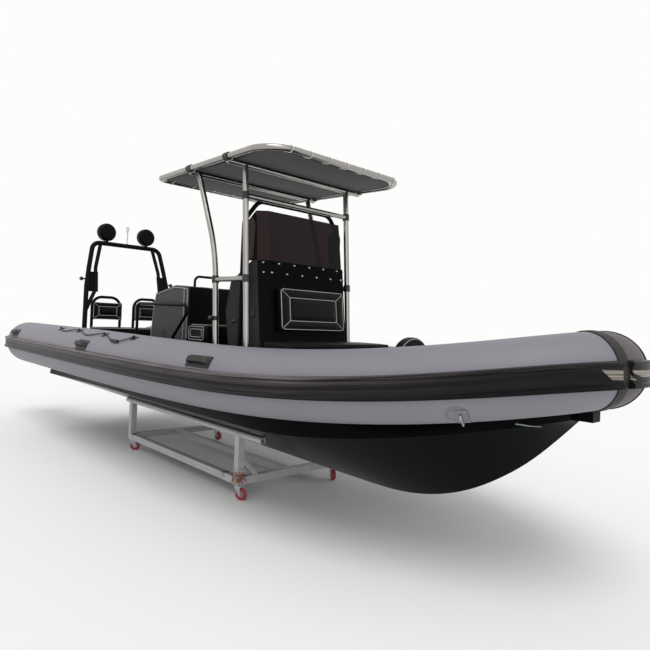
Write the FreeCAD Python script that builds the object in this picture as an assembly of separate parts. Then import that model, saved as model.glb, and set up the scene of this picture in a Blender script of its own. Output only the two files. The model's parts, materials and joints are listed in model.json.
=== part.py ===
import FreeCAD, Part
import math
import os

os.makedirs("parts", exist_ok=True)

V = FreeCAD.Vector

# Rigid inflatable boat on its workshop cradle. Millimetres, +X to the bow, +Y to port, +Z up,
# floor at z = 0 under the middle of the boat's overall box.

# General clearances
SEAT_GAP = 0.8      # between curved faces that rest on each other
PAD_GAP = 0.3             # round a soft pad

# Collar: axis of the inflated tube, starboard and port alike
COLLAR_HALF = 967.0      # axis to centreline at the widest station
WIDEST_X = 38.0
COLLAR_TIP_X = 3764.0      # where the axis crosses the centreline
COLLAR_END_X = -3584.0      # where the stern cap starts
STERN_TAPER = 0.010      # how much the half-breadth falls per length going aft
PLAN_FULLNESS = 2.073      # exponent of the bow's plan curve
COLLAR_Z = 1063.0
SHEER_RISE = 256.0
SHEER_START_X = 1079.0
SHEER_POWER = 2.352
COLLAR_R = 274.0
BOW_R = 215.0
TAPER_START_X = -1470.0
TAPER_POWER = 1.368
CAP_LENGTH = 400.0
NOSE_HALF = 99.0      # half-breadth of the joint between side tube and nose
BAND_WIDTH = 42.0
BAND_THICK = 6.0

# Rubbing strake round the collar's widest line
STRAKE_HEIGHT = 146.0
STRAKE_DEPTH = 30.0
STRAKE_LIP = 20.0
STRAKE_GAP = 1.6          # behind the strake along the side tubes
CAP_STRAKE_GAP = 4.0      # and where it is bent round the stern cones

# Hull: deep vee with one chine
TRANSOM_X = -2810.0
STEM_X = 3660.0
KEEL_LOW_X = 2130.0
KEEL_LOW_Z = 294.0
KEEL_TRANSOM_Z = 385.0
KEEL_BOW = 0.5      # how much of the keel's rise is straight
STEM_TOP_Z = 1049.0
STEM_BLOCK_L = 100.0
STEM_BLOCK_W = 100.0
STEM_BLOCK_Z = 1027.0
STEM_REACH = 1560.0
STEM_POWER = 2.5
CHINE_Z = 695.0
CHINE_RISE = 335.0
CHINE_RISE_X = 1530.0
CHINE_RUN_X = 1530.0
CHINE_REACH = 2150.0
CHINE_POWER = 1.7
DECK_Z = 865.0
DECK_FLAT_X = 1800.0       # the deck is level aft of this
DECK_RISE = 271.0
DECK_RISE_POWER = 1.62
SEAT_LOW_ANGLE = 256.0    # round the collar's section, from outboard through the top

# Cradle
RAIL_Y = 545.0
RAIL_Z = 548.0
RAIL_D = 50.0
RAIL_BORE = 41.0
RAIL_AFT_X = -1130.0
RAIL_FORE_X = 1430.0
FRAME_AFT_X = -1020.0
FRAME_FORE_X = 1140.0
BEAM = 62.0
FRAME_Z = 128.0
MID_BEAM_Y = 0.0
BRACE_D = 40.0
WHEEL_D = 100.0
WHEEL_W = 32.0

# Console
CONSOLE_FOOT_X = 1391.0   # front face at the deck
CONSOLE_RAKE = 0.1205     # how far the front face leans aft per height
CONSOLE_AFT_X = 740.0
CONSOLE_HALF = 500.0
CONSOLE_CHAMFER = 72.0
CONSOLE_TOP_FORE = 2014.0
CONSOLE_TOP_AFT = 1840.0
CONSOLE_WALL = 12.0

# T-top
LEG_D = 50.0
FORE_LEG_FOOT_X = 1238.0
LEG_RAKE = 0.079          # all four legs lean aft, per height
FORE_LEG_Y = 589.0
AFT_LEG_FOOT_X = 818.0
AFT_LEG_Y = 620.0
AFT_LEG_TOP_X = 442.0
CROSSBAR_Z = 2544.0
CANOPY_AFT_X = -222.0
CANOPY_FORE_X = 1683.0
CANOPY_HALF_AFT = 726.0
CANOPY_HALF_FORE = 787.0
CANOPY_AFT_Z = 2863.0
CANOPY_FORE_Z = 2817.0

# Transom and engine place
TRANSOM_TOP_Z = 1243.0
TRANSOM_THICK = 62.0
ENGINE_HALF = 360.0
ENGINE_NOTCH_Z = 990.0
ENGINE_BOLT_Y = 327.0
ENGINE_BOLT_Z = 203.0
ENGINE_BOLT_D = 13.0
ENGINE_PAD = (20.0, 420.0, 300.0)

# Casters
PLATE_T = 6.0
KINGPIN_D = 14.0
CROWN_GAP = 0.5
CROWN_T = 6.0
CROWN_D = 56.0
CHEEK_T = 3.0
FORK_GAP = 5.0
CASTER_TRAIL = 34.0
AXLE_D = 12.0
PIN_GAP = 0.1
BRACE_TOP_Z = 350.0

# Console fittings
CONSOLE_RIM_X = 1110.0
HELM_FOOT_Z = 1600.0
HELM_FACE_RUN = 60.0
KNEE_Z = 1570.0
KNEE_RUN = 140.0
HELM_Y = 90.0
HELM_D = 340.0
HELM_GRIP = 26.0
HELM_BOSS_D = 90.0
HELM_BOSS_L = 61.0
THROTTLE_BOX = (90.0, 60.0, 42.0)
THROTTLE_Y = 305.0        # to starboard of the wheel's axis
LEVER_L = 120.0
SCREEN_T = 6.0
SCREEN_TOP_Z = 2435.0
SCREEN_SIDE_Z = 2230.0
SCREEN_AFT_X = 1010.0
SCREEN_CREST_L = 90.0     # level top edge of the side panels
HOOP_X = 1050.0
HOOP_HALF = 554.0
HOOP_TOP_HALF = 410.0
HOOP_SHOULDER_Z = 2350.0
HOOP_TOP_Z = 2535.0
HOOP_D = 38.0
PAD_T = 62.0
PAD_HALF = 363.0
PAD_LOW_Z = 1432.0
PAD_HIGH_Z = 1785.0
FRONT_SEAT_X = 1760.0
FRONT_SEAT_HALF = 560.0
FRONT_SEAT_Z = 1265.0
SEAT_PAD_T = 80.0

# T-top details
CROSS_D = 45.0
CROSS_DROP = 30.0
CANOPY_T = 6.0
CANOPY_LIFT = CROSS_D / 2 - CROSS_DROP + SEAT_GAP
LACING_GAP = 28.0
AFT_LEG_BEND_Z = 2100.0
SIDE_BAR_Z = 1852.0

# Seats
UNIT_FRONT_X = -30.0
UNIT_HALF = 450.0
BENCH_Z = 1270.0
UNIT_TOP_Z = 1815.0       # backrest's front upper edge
UNIT_CREST = (300.0, 1837.0)      # distance aft of the front and height, as in the next two
UNIT_SHOULDER = (730.0, 1762.0)
UNIT_AFT = (830.0, 1272.0)
UNIT_FOOT_L = 775.0
HELM_BOX_L = 320.0
HELM_BOX_INSET = 20.0
HELM_CUSHION_L = 340.0
HELM_CUSHION_T = 176.0
RAIL_TUBE_D = 32.0
SIDE_RAIL_OUT = 70.0      # side rails outboard of the unit
SIDE_RAIL_AFT = 1010.0    # and their aft upright aft of its front
SIDE_RAIL_Z = 1640.0
SIDE_RAIL_FORE = 190.0
SIDE_RAIL_DROP = 12.0
SIDE_RAIL_TURN = (168.0, 1294.0)
SIDE_RAIL_END = (230.0, 1240.0)
TOP_RAIL_BACK = 150.0
TOP_RAIL_HALF = 300.0
TOP_RAIL_RISE = 120.0
BENCH_OFF = 240.0         # rear bench ahead of the transom's aft face
BENCH_L = 550.0
BENCH_HALF = 560.0
REAR_SEAT_Z = 1250.0
REAR_CUSHION_L = 350.0
BACK_INSET = 30.0         # hoops' axis ahead of the bench's aft side
BACK_Y = 285.0
BACK_WIDTH = 380.0
BACK_RISE = 476.0         # hoops' top axis above the rear bench
BACK_PAD_HALF = 195.0
BACK_PAD_T = 46.0
BACK_PAD_LOW = 301.0      # pads' lower edge below the hoops' top axis
BACK_PAD_H = 230.0

# Arch
ARCH_FOOT_X = -2316.0
ARCH_RAKE = 0.19
ARCH_D = 60.0
ARCH_TOP_Z = 2455.0
ARCH_FOOT_SINK = 10.0     # the tube's blank starts this far under the deck
# Half-breadths and drops below the top of the outer tube's and the inner strut's corners, and the gusset's
ARCH_FOOT_HALF = 618.0
ARCH_CORNERS = ((612.0, 1125.0), (570.0, 595.0), (531.0, 345.0), (465.0, 0.0))
STRUT_CORNERS = ((590.0, 915.0), (452.0, 625.0), (445.0, 345.0), (365.0, 0.0))
GUSSET_CORNERS = ((600.0, 665.0), (425.0, 665.0), (415.0, 400.0), (565.0, 400.0))
STRUT_D = 48.0
GUSSET_T = 8.0
LAMP_D = 240.0
LAMP_T = 120.0
LAMP_Y = 280.0
LAMP_RISE = 157.0         # lamps' middle above the arch's bar
LAMP_STEM_D = 32.0
MAST_D = 18.0
MAST_L = 215.0
LANTERN_D = 42.0
LANTERN_L = 60.0

# Fittings on the collar
HANDLE_PLACES = ((-0.932, 29.0), (-0.227, 27.5), (0.222, 31.0))   # station and angle round the section
HANDLE_L = 280.0
HANDLE_BASE_T = 6.0
HANDLE_ARC = 22.0
HANDLE_RISE = 46.0        # grip's top above the collar
GRIP_W = 40.0
GRIP_T = 18.0
GRIP_FOOT_L = 40.0
PATCH_PLACES = ((-0.511, 63.0), (-0.348, 64.0), (-0.145, 62.0), (0.020, 64.0))
PATCH_L = 70.0
PATCH_ARC = 14.0
PATCH_T = 5.0
CORD_D = 11.0
CORD_LIFT = 16.0          # cord's middle above the collar where a sleeve holds it
SLEEVE_D = 24.0
SLEEVE_L = 20.0
CORD_PLACES = ((-0.511, 63.0, CORD_LIFT), (-0.43, 56.0, 9.0), (-0.348, 64.0, CORD_LIFT), (-0.25, 52.0, 9.0),
               (-0.145, 62.0, CORD_LIFT), (-0.075, 50.0, 14.0), (-0.030, 45.5, 17.0),
               (0.020, 64.0, CORD_LIFT))
CORD_GRIP_D = 28.0
CORD_GRIP_L = 150.0
CORD_SIDES = 6  # faces round the cord's section
CORD_BORE_GAP = 0.5       # round the cord in its sleeves
SINK = 6.0                # how deep a fitting's blank starts inside the collar before it is cut to it
TOW_EYE_S = 0.648
TOW_EYE_ANGLES = (-44.0, -66.0)
TOW_EYE_D = 12.0
TOW_EYE_REACH = 34.0
CLAMP_D = 63.0
CLAMP_L = 62.0
CLAMP_GAP = 0.3
BALL_Z = 1512.0
BALL_D = 46.0
BALL_RING_L = 36.0
SIDE_LIGHT_DROP = 503.0   # below the arch's top
SIDE_LIGHT_D = 52.0
STALK_D = 18.0
STALK_L = 60.0

# Bow
LOCKER_X0 = 2500.0
LOCKER_X1 = 2930.0
LOCKER_HALF = 290.0
LOCKER_Z = 1250.0
LOCKER_FLOOR_Z = 1030.0
BOLSTER_X0 = 2405.0
BOLSTER_T = 70.0
BOLSTER_HALF = 190.0
BOLSTER_TOP_Z = 1435.0


def save(node, shape):
    shape.exportStep("parts/" + node + ".step")


def mirrored(shape):
    return shape.mirror(V(0, 0, 0), V(0, 1, 0))


# Collar geometry: s runs from -1 at the stern cap over 0 at the widest station to 1 at the tip,
# and on to 3 at the port cap
def axis_point(s):
    if s > 1:
        p = axis_point(2.0 - s)
        return V(p.x, -p.y, p.z)
    if s <= 0:
        x = WIDEST_X + s * (WIDEST_X - COLLAR_END_X)
        y = COLLAR_HALF - STERN_TAPER * (WIDEST_X - x)
    else:
        phi = 0.5 * math.pi * (1.0 - s)
        x = WIDEST_X + (COLLAR_TIP_X - WIDEST_X) * math.cos(phi) ** (2.0 / PLAN_FULLNESS)
        y = COLLAR_HALF * math.sin(phi) ** (2.0 / PLAN_FULLNESS)
    return V(x, -y, axis_z(x))


def axis_z(x):
    run = max(0.0, x - SHEER_START_X) / (COLLAR_TIP_X - SHEER_START_X)
    return COLLAR_Z + SHEER_RISE * run ** SHEER_POWER


def axis_r(s):
    run = max(0.0, axis_point(s).x - TAPER_START_X) / (COLLAR_TIP_X - TAPER_START_X)
    return COLLAR_R - (COLLAR_R - BOW_R) * run ** TAPER_POWER


def axis_frame(s):
    step = 0.002
    along = axis_point(min(3.0, s + step)).sub(axis_point(max(-1.0, s - step)))
    along.normalize()
    outward = along.cross(V(0, 0, 1))
    outward.normalize()
    upward = outward.cross(along)
    return axis_point(s), along, outward, upward


def round_point(s, degrees, radius):
    centre, along, outward, upward = axis_frame(s)
    a = math.radians(degrees)
    return centre + outward * (radius * math.cos(a)) + upward * (radius * math.sin(a))


def solve_s(test, low, high):
    for i in range(40):
        mid = 0.5 * (low + high)
        if test(mid):
            low = mid
        else:
            high = mid
    return 0.5 * (low + high)


NOSE_S = solve_s(lambda s: -axis_point(s).y > NOSE_HALF, 0.0, 1.0)
BAND_S = BAND_WIDTH / 2.0 / (axis_point(NOSE_S + 0.01) - axis_point(NOSE_S - 0.01)).Length * 0.02


def ring(s, radius):
    centre, along, outward, upward = axis_frame(s)
    circle = Part.Circle(centre, along, radius)
    circle.XAxis = outward
    return Part.Wire([circle.toShape()])


def spread(low, high, count):
    return [low + (high - low) * i / (count - 1.0) for i in range(count)]


def extruded(points, direction):
    return Part.Face(Part.makePolygon(points + [points[0]])).extrude(direction)


def round_path(points, bend):
    # Straight runs joined by tangent arcs
    edges = []
    start = points[0]
    for i in range(1, len(points) - 1):
        corner = points[i]
        back = (points[i - 1] - corner).normalize()
        ahead = (points[i + 1] - corner).normalize()
        half = 0.5 * back.getAngle(ahead)
        reach = min(bend / math.tan(half), 0.48 * min((points[i - 1] - corner).Length,
                                                      (points[i + 1] - corner).Length))
        radius = reach * math.tan(half)
        middle = (back + ahead).normalize()
        arc_mid = corner + middle * (radius / math.sin(half) - radius)
        a = corner + back * reach
        b = corner + ahead * reach
        if (a - start).Length > 0.01:
            edges.append(Part.LineSegment(start, a).toShape())
        edges.append(Part.Arc(a, arc_mid, b).toShape())
        start = b
    edges.append(Part.LineSegment(start, points[-1]).toShape())
    return Part.Wire(edges)


def tube(points, dia, bend=0.0, bore=0.0):
    path = round_path(points, bend)
    first = (points[1] - points[0]).normalize()
    outer = Part.Wire([Part.Circle(points[0], first, dia / 2.0).toShape()])
    solid = path.makePipeShell([outer], True, True)
    if bore > 0:
        inner = Part.Wire([Part.Circle(points[0], first, bore / 2.0).toShape()])
        solid = solid.cut(path.makePipeShell([inner], True, True))
    return solid


def box(x0, x1, y0, y1, z0, z1):
    return Part.makeBox(x1 - x0, y1 - y0, z1 - z0, V(x0, y0, z0))


def rounded_box(x0, x1, y0, y1, z0, z1, radius):
    solid = box(x0, x1, y0, y1, z0, z1)
    return solid.makeFillet(radius, solid.Edges)


def pair(shape):
    return Part.makeCompound([shape, mirrored(shape)])


# Collar
side_stations = spread(-1.0, 0.0, 9) + spread(0.0, NOSE_S, 17)[1:]
side = Part.makeLoft([ring(s, axis_r(s)) for s in side_stations], True, False)
side_room = Part.makeLoft([ring(s, axis_r(s) + SEAT_GAP) for s in side_stations], True, False)
save("collar_starboard", side)
save("collar_port", mirrored(side))
nose_stations = spread(NOSE_S, 2.0 - NOSE_S, 7)
save("collar_nose", Part.makeLoft([ring(s, axis_r(s)) for s in nose_stations], True, False))


def stern_cap():
    centre, along, outward, upward = axis_frame(-1.0)
    arc = Part.ArcOfEllipse(Part.Ellipse(V(0, 0, 0), CAP_LENGTH, COLLAR_R), 0.5 * math.pi, math.pi)
    edges = [arc.toShape(), Part.LineSegment(V(-CAP_LENGTH, 0, 0), V(0, 0, 0)).toShape(),
             Part.LineSegment(V(0, 0, 0), V(0, COLLAR_R, 0)).toShape()]
    solid = Part.Face(Part.Wire(edges)).revolve(V(0, 0, 0), V(1, 0, 0), 360)
    solid.Placement = FreeCAD.Placement(centre, FreeCAD.Rotation(along, V(0, 0, 0), upward, "XZY"))
    return solid


save("stern_cones", pair(stern_cap()))


def band(s):
    stations = [s - BAND_S, s, s + BAND_S]
    outer = Part.makeLoft([ring(k, axis_r(k) + SEAT_GAP + BAND_THICK) for k in stations], True, False)
    inner = Part.makeLoft([ring(k, axis_r(k) + SEAT_GAP) for k in stations], True, False)
    return outer.cut(inner)


bow_band = band(NOSE_S)


# Rubbing strake: a moulded section with two lips, its back hollowed to the collar
def strake_section(base, normal, upward, radius, gap):
    half = STRAKE_HEIGHT / 2.0
    wrap = math.asin(half / radius)
    rho = (radius + gap) / math.cos(wrap / 3.0)
    front = radius + STRAKE_DEPTH
    points = []
    for k in (-1.0, -1.0 / 3.0, 1.0 / 3.0, 1.0):
        points.append((rho * math.cos(k * wrap), rho * math.sin(k * wrap)))
    points.append((front - 4.0, half - 4.0))
    points.append((front, half - STRAKE_LIP))
    points.append((front - 9.0, half - STRAKE_LIP - 8.0))
    points.append((front - 9.0, -half + STRAKE_LIP + 14.0))
    points.append((front + 4.0, -half + STRAKE_LIP + 6.0))
    points.append((front, -half + 4.0))
    places = [base + normal * (u - radius) + upward * v for u, v in points]
    return Part.makePolygon(places + [places[0]])


def side_strake_section(s):
    centre, along, outward, upward = axis_frame(s)
    r = axis_r(s)
    return strake_section(centre + outward * r, outward, upward, r, STRAKE_GAP)


def cap_strake_section(turn):
    centre, along, outward, upward = axis_frame(-1.0)
    t = math.radians(turn)
    base = centre - along * (CAP_LENGTH * math.sin(t)) + outward * (COLLAR_R * math.cos(t))
    normal = outward * (math.cos(t) / COLLAR_R) - along * (math.sin(t) / CAP_LENGTH)
    normal.normalize()
    return strake_section(base, normal, upward, COLLAR_R * (1.0 - 0.35 * math.sin(t)), CAP_STRAKE_GAP)


strake_stations = spread(-1.0, 0.0, 9) + spread(0.0, NOSE_S - BAND_S, 17)[1:]
sections = [cap_strake_section(turn) for turn in (78, 60, 40, 20)]
sections += [side_strake_section(s) for s in strake_stations]
side_strake = Part.makeLoft(sections, True, False)
nose_span = spread(NOSE_S + BAND_S, 2.0 - NOSE_S - BAND_S, 7)
nose_strake = Part.makeLoft([side_strake_section(s) for s in nose_span], True, False)
save("rubbing_strake", Part.makeCompound([side_strake, mirrored(side_strake), nose_strake]))


# Hull lines, each a height or half-breadth against x
def keel_z(x):
    if x < KEEL_LOW_X:
        u = (KEEL_LOW_X - x) / (KEEL_LOW_X - TRANSOM_X)
        return KEEL_LOW_Z + (KEEL_TRANSOM_Z - KEEL_LOW_Z) * (KEEL_BOW * u - (KEEL_BOW - 1.0) * u * u)
    return KEEL_LOW_Z + (STEM_TOP_Z - KEEL_LOW_Z) * ((x - KEEL_LOW_X) / STEM_REACH) ** STEM_POWER


def chine_z(x):
    return CHINE_Z + CHINE_RISE * (max(0.0, x - CHINE_RISE_X) / (STEM_X - CHINE_RISE_X)) ** CHINE_POWER


def bottom_slope(x):
    # The bottom panel is tangent to the cradle's rail all along its run
    slope = 0.5
    for i in range(8):
        contact = RAIL_Z + (0.5 * RAIL_D + SEAT_GAP) * math.sqrt(1.0 + slope * slope)
        slope = (contact - keel_z(x)) / RAIL_Y
    return slope


def chine_y(x):
    if x <= CHINE_RUN_X:
        return (chine_z(x) - keel_z(x)) / bottom_slope(x)
    u = (x - CHINE_RUN_X) / CHINE_REACH
    return chine_y(CHINE_RUN_X) * (1.0 - u ** 2.4) ** (1.0 / 1.7)


def deck_edge_z(x):
    run = max(0.0, x - DECK_FLAT_X) / (COLLAR_TIP_X - DECK_FLAT_X)
    return DECK_Z + DECK_RISE * run ** DECK_RISE_POWER


def seat_points(x):
    # The two edges of the flat on which the collar lies, at station x
    high = 232.0
    for i in range(8):
        spread_half = math.radians(0.5 * (SEAT_LOW_ANGLE - high))
        s = solve_s(lambda k: round_point(k, high, (axis_r(k) + SEAT_GAP) / math.cos(spread_half)).x < x,
                    -1.0, 1.0)
        rho = (axis_r(s) + SEAT_GAP) / math.cos(spread_half)
        drop = axis_point(s).z - deck_edge_z(x)
        high = 180.0 + math.degrees(math.asin(drop / rho))
    upper = round_point(s, high, rho)
    low_s = solve_s(lambda k: round_point(k, SEAT_LOW_ANGLE,
                                          (axis_r(k) + SEAT_GAP) / math.cos(spread_half)).x < x, -1.0, 1.0)
    lower = round_point(low_s, SEAT_LOW_ANGLE, (axis_r(low_s) + SEAT_GAP) / math.cos(spread_half))
    return V(x, lower.y, lower.z), V(x, upper.y, deck_edge_z(x))


def hull_points(x):
    # Keel, chine, and the two edges of the collar's seat at station x
    low, edge = seat_points(x)
    return V(x, 0, keel_z(x)), V(x, -chine_y(x), chine_z(x)), low, edge


def hull_lines(stations):
    # The four lines over a run of stations, their end slopes measured inside the run
    places = [hull_points(x) for x in stations]
    first = hull_points(stations[0] + 1.0)
    last = hull_points(stations[-1] - 1.0)
    edges = []
    for k in range(4):
        points = [place[k] for place in places]
        curve = Part.BSplineCurve()
        curve.interpolate(Points=points, Parameters=stations, InitialTangent=first[k] - points[0],
                          FinalTangent=points[-1] - last[k])
        edges.append(curve.toShape())
    return edges


def hull():
    # Two lengths that meet where the level deck ends
    runs = (spread(TRANSOM_X, CHINE_RUN_X, 14) + [DECK_FLAT_X], spread(DECK_FLAT_X, STEM_X, 10))
    faces = []
    for stations in runs:
        lines = hull_lines(stations)
        sides = [Part.makeRuledSurface(lines[k], lines[k + 1]) for k in range(3)]
        faces += sides + [mirrored(face) for face in sides]
        faces.append(Part.makeRuledSurface(lines[3], mirrored(lines[3])))
    for x in (TRANSOM_X, STEM_X):
        outline = list(hull_points(x))
        outline += [V(p.x, -p.y, p.z) for p in reversed(outline[1:])]
        faces.append(Part.Face(Part.makePolygon(outline + [outline[0]])))
    shell = Part.makeShell(faces)
    shell.sewShape()
    solid = Part.makeSolid(shell)
    if solid.Volume < 0:
        solid.reverse()
    return solid


hull_solid = hull()
save("hull", hull_solid)
save("bow_bands", pair(bow_band.cut(hull_solid)))


# Stem head: a block on the hull's narrow forward end, under the nose
def stem_block():
    block = box(STEM_X - 50.0, STEM_X + STEM_BLOCK_L, -STEM_BLOCK_W / 2, STEM_BLOCK_W / 2,
                STEM_BLOCK_Z, axis_z(COLLAR_TIP_X))
    nose = Part.makeLoft([ring(s, axis_r(s) + SEAT_GAP) for s in nose_stations], True, False)
    for other in (nose, hull_solid, bow_band, mirrored(bow_band), side_room, mirrored(side_room)):
        block = block.cut(other)
    return block


save("stem_block", stem_block())


# Transom above the deck: two cheeks with a low middle for the engine
def transom():
    half = [V(TRANSOM_X, COLLAR_HALF, DECK_Z), V(TRANSOM_X, COLLAR_HALF, TRANSOM_TOP_Z),
            V(TRANSOM_X, ENGINE_HALF + 70.0, TRANSOM_TOP_Z), V(TRANSOM_X, ENGINE_HALF, ENGINE_NOTCH_Z)]
    board = extruded(half + [V(p.x, -p.y, p.z) for p in reversed(half)], V(TRANSOM_THICK, 0, 0))
    return board.cut(side_room).cut(mirrored(side_room))


def engine_pad():
    thick, wide, tall = ENGINE_PAD
    plate = box(TRANSOM_X - thick, TRANSOM_X, -wide / 2, wide / 2, ENGINE_NOTCH_Z - tall, ENGINE_NOTCH_Z)
    middle = ENGINE_NOTCH_Z - tall / 2
    for y in (-ENGINE_BOLT_Y / 2, ENGINE_BOLT_Y / 2):
        for z in (middle - ENGINE_BOLT_Z / 2, middle + ENGINE_BOLT_Z / 2):
            hole = Part.makeCylinder(ENGINE_BOLT_D / 2, thick, V(TRANSOM_X - thick, y, z), V(1, 0, 0))
            plate = plate.cut(hole)
    return plate


save("transom", transom())
save("engine_pad", engine_pad())


# Cradle: square tube base on four swivel casters, four posts and two round rails
FRAME_TOP = FRAME_Z + BEAM
HALF_BEAM = BEAM / 2.0


def cradle_base():
    base = box(FRAME_AFT_X, FRAME_FORE_X, MID_BEAM_Y - HALF_BEAM, MID_BEAM_Y + HALF_BEAM, FRAME_Z, FRAME_TOP)
    for y in (-RAIL_Y, RAIL_Y):
        base = base.fuse(box(FRAME_AFT_X, FRAME_FORE_X, y - HALF_BEAM, y + HALF_BEAM, FRAME_Z, FRAME_TOP))
    for x in (FRAME_AFT_X, FRAME_FORE_X - BEAM):
        base = base.fuse(box(x, x + BEAM, -RAIL_Y, RAIL_Y, FRAME_Z, FRAME_TOP))
    return base.removeSplitter()


def cradle_posts():
    posts = []
    for x in (FRAME_AFT_X, FRAME_FORE_X - BEAM):
        post = box(x, x + BEAM, -RAIL_Y - HALF_BEAM, -RAIL_Y + HALF_BEAM, FRAME_TOP, RAIL_Z)
        posts.append(post.cut(Part.makeCylinder(RAIL_D / 2, BEAM, V(x, -RAIL_Y, RAIL_Z), V(1, 0, 0))))
    posts[1] = posts[1].fuse(cradle_brace())
    return Part.makeCompound(posts)


def cradle_brace():
    # Square stay from the forward post down to the forward cross beam
    x = FRAME_FORE_X - HALF_BEAM - BRACE_D / 2
    inner = -RAIL_Y + HALF_BEAM
    drop = BRACE_TOP_Z - FRAME_TOP
    slant = BRACE_D * math.sqrt(2.0)
    points = [V(x, inner, BRACE_TOP_Z), V(x, inner, BRACE_TOP_Z - slant),
              V(x, inner + drop - slant, FRAME_TOP), V(x, inner + drop, FRAME_TOP)]
    return extruded(points, V(BRACE_D, 0, 0))


def cradle_rail():
    length = RAIL_FORE_X - RAIL_AFT_X
    start = V(RAIL_AFT_X, -RAIL_Y, RAIL_Z)
    rail = Part.makeCylinder(RAIL_D / 2, length, start, V(1, 0, 0))
    return rail.cut(Part.makeCylinder(RAIL_BORE / 2, length, start, V(1, 0, 0)))


save("cradle_base", cradle_base())
save("cradle_posts", pair(cradle_posts()))
save("cradle_rails", pair(cradle_rail()))


# Casters: plate and kingpin under each corner, a fork that swivels and a wheel on its axle
def caster_plate():
    plate = box(-HALF_BEAM, HALF_BEAM, -HALF_BEAM, HALF_BEAM, FRAME_Z - PLATE_T, FRAME_Z)
    return plate.fuse(Part.makeCylinder(KINGPIN_D / 2, PLATE_T + CROWN_GAP + CROWN_T + 3.0,
                                        V(0, 0, FRAME_Z - PLATE_T - CROWN_GAP - CROWN_T - 3.0)))


def caster_fork():
    crown_top = FRAME_Z - PLATE_T - CROWN_GAP
    crown = Part.makeCylinder(CROWN_D / 2, CROWN_T, V(0, 0, crown_top - CROWN_T))
    cheek_in = WHEEL_W / 2 + FORK_GAP
    points = [V(-26, cheek_in, crown_top - CROWN_T), V(26, cheek_in, crown_top - CROWN_T),
              V(-CASTER_TRAIL + 14, cheek_in, WHEEL_D / 2 - 12),
              V(-CASTER_TRAIL - 14, cheek_in, WHEEL_D / 2 - 12)]
    cheek = extruded(points, V(0, CHEEK_T, 0))
    fork = crown.fuse(cheek).fuse(mirrored(cheek))
    axle_half = cheek_in + CHEEK_T + 4.0
    fork = fork.fuse(Part.makeCylinder(AXLE_D / 2, 2 * axle_half, V(-CASTER_TRAIL, -axle_half, WHEEL_D / 2),
                                       V(0, 1, 0)))
    hole = Part.makeCylinder(KINGPIN_D / 2 + PIN_GAP, CROWN_T, V(0, 0, crown_top - CROWN_T))
    return fork.cut(hole).removeSplitter()


def caster_wheel():
    centre = V(-CASTER_TRAIL, -WHEEL_W / 2, WHEEL_D / 2)
    wheel = Part.makeCylinder(WHEEL_D / 2, WHEEL_W, centre, V(0, 1, 0))
    rims = [e for e in wheel.Edges if e.Curve.TypeId == "Part::GeomCircle"]
    wheel = wheel.makeFillet(7.0, rims)
    for y in (-WHEEL_W / 2, WHEEL_W / 2 - 5.0):
        dish = Part.makeCylinder(WHEEL_D * 0.34, 5.0, V(-CASTER_TRAIL, y, WHEEL_D / 2), V(0, 1, 0))
        dish = dish.cut(Part.makeCylinder(WHEEL_D * 0.14, 5.0, V(-CASTER_TRAIL, y, WHEEL_D / 2), V(0, 1, 0)))
        wheel = wheel.cut(dish)
    return wheel.cut(Part.makeCylinder(AXLE_D / 2 + PIN_GAP, WHEEL_W, centre, V(0, 1, 0)))


CASTER_X = (FRAME_AFT_X + HALF_BEAM, FRAME_FORE_X - HALF_BEAM)
CASTERS = (("fore_starboard", 1, -1, 200.0), ("aft_starboard", 0, -1, 250.0),
           ("fore_port", 1, 1, 155.0), ("aft_port", 0, 1, 190.0))
plates = []
for name, end, side_sign, heading in CASTERS:
    place = FreeCAD.Placement(V(CASTER_X[end], side_sign * RAIL_Y, 0), FreeCAD.Rotation(V(0, 0, 1), heading))
    flat = FreeCAD.Placement(place.Base, FreeCAD.Rotation())
    plate = caster_plate()
    plate.Placement = flat
    plates.append(plate)
    fork = caster_fork()
    fork.Placement = place
    save("caster_fork_" + name, fork)
    wheel = caster_wheel()
    wheel.Placement = place
    save("caster_wheel_" + name, wheel)
save("caster_plates", Part.makeCompound(plates))


# Console: a thin moulding with a sloping helm face, open underneath where it stands on the deck
def console_front(z):
    return CONSOLE_FOOT_X - CONSOLE_RAKE * (z - DECK_Z)


def console_block(inset):
    half = CONSOLE_HALF - inset
    cut = CONSOLE_CHAMFER
    top = CONSOLE_TOP_FORE - inset
    front = CONSOLE_FOOT_X - inset
    aft = CONSOLE_AFT_X + inset
    side_view = [V(front, -half, DECK_Z), V(front, -half, top), V(CONSOLE_RIM_X, -half, top),
                 V(aft + HELM_FACE_RUN, -half, CONSOLE_TOP_AFT - inset), V(aft, -half, HELM_FOOT_Z),
                 V(aft, -half, KNEE_Z), V(aft + KNEE_RUN, -half, DECK_Z)]
    plan = [V(CONSOLE_AFT_X, -half, DECK_Z), V(front - cut, -half, DECK_Z), V(front, -half + cut, DECK_Z),
            V(front, half - cut, DECK_Z), V(front - cut, half, DECK_Z), V(CONSOLE_AFT_X, half, DECK_Z)]
    height = top - DECK_Z
    return extruded(side_view, V(0, 2 * half, 0)).common(extruded(plan, V(-CONSOLE_RAKE * height, 0, height)))


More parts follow.
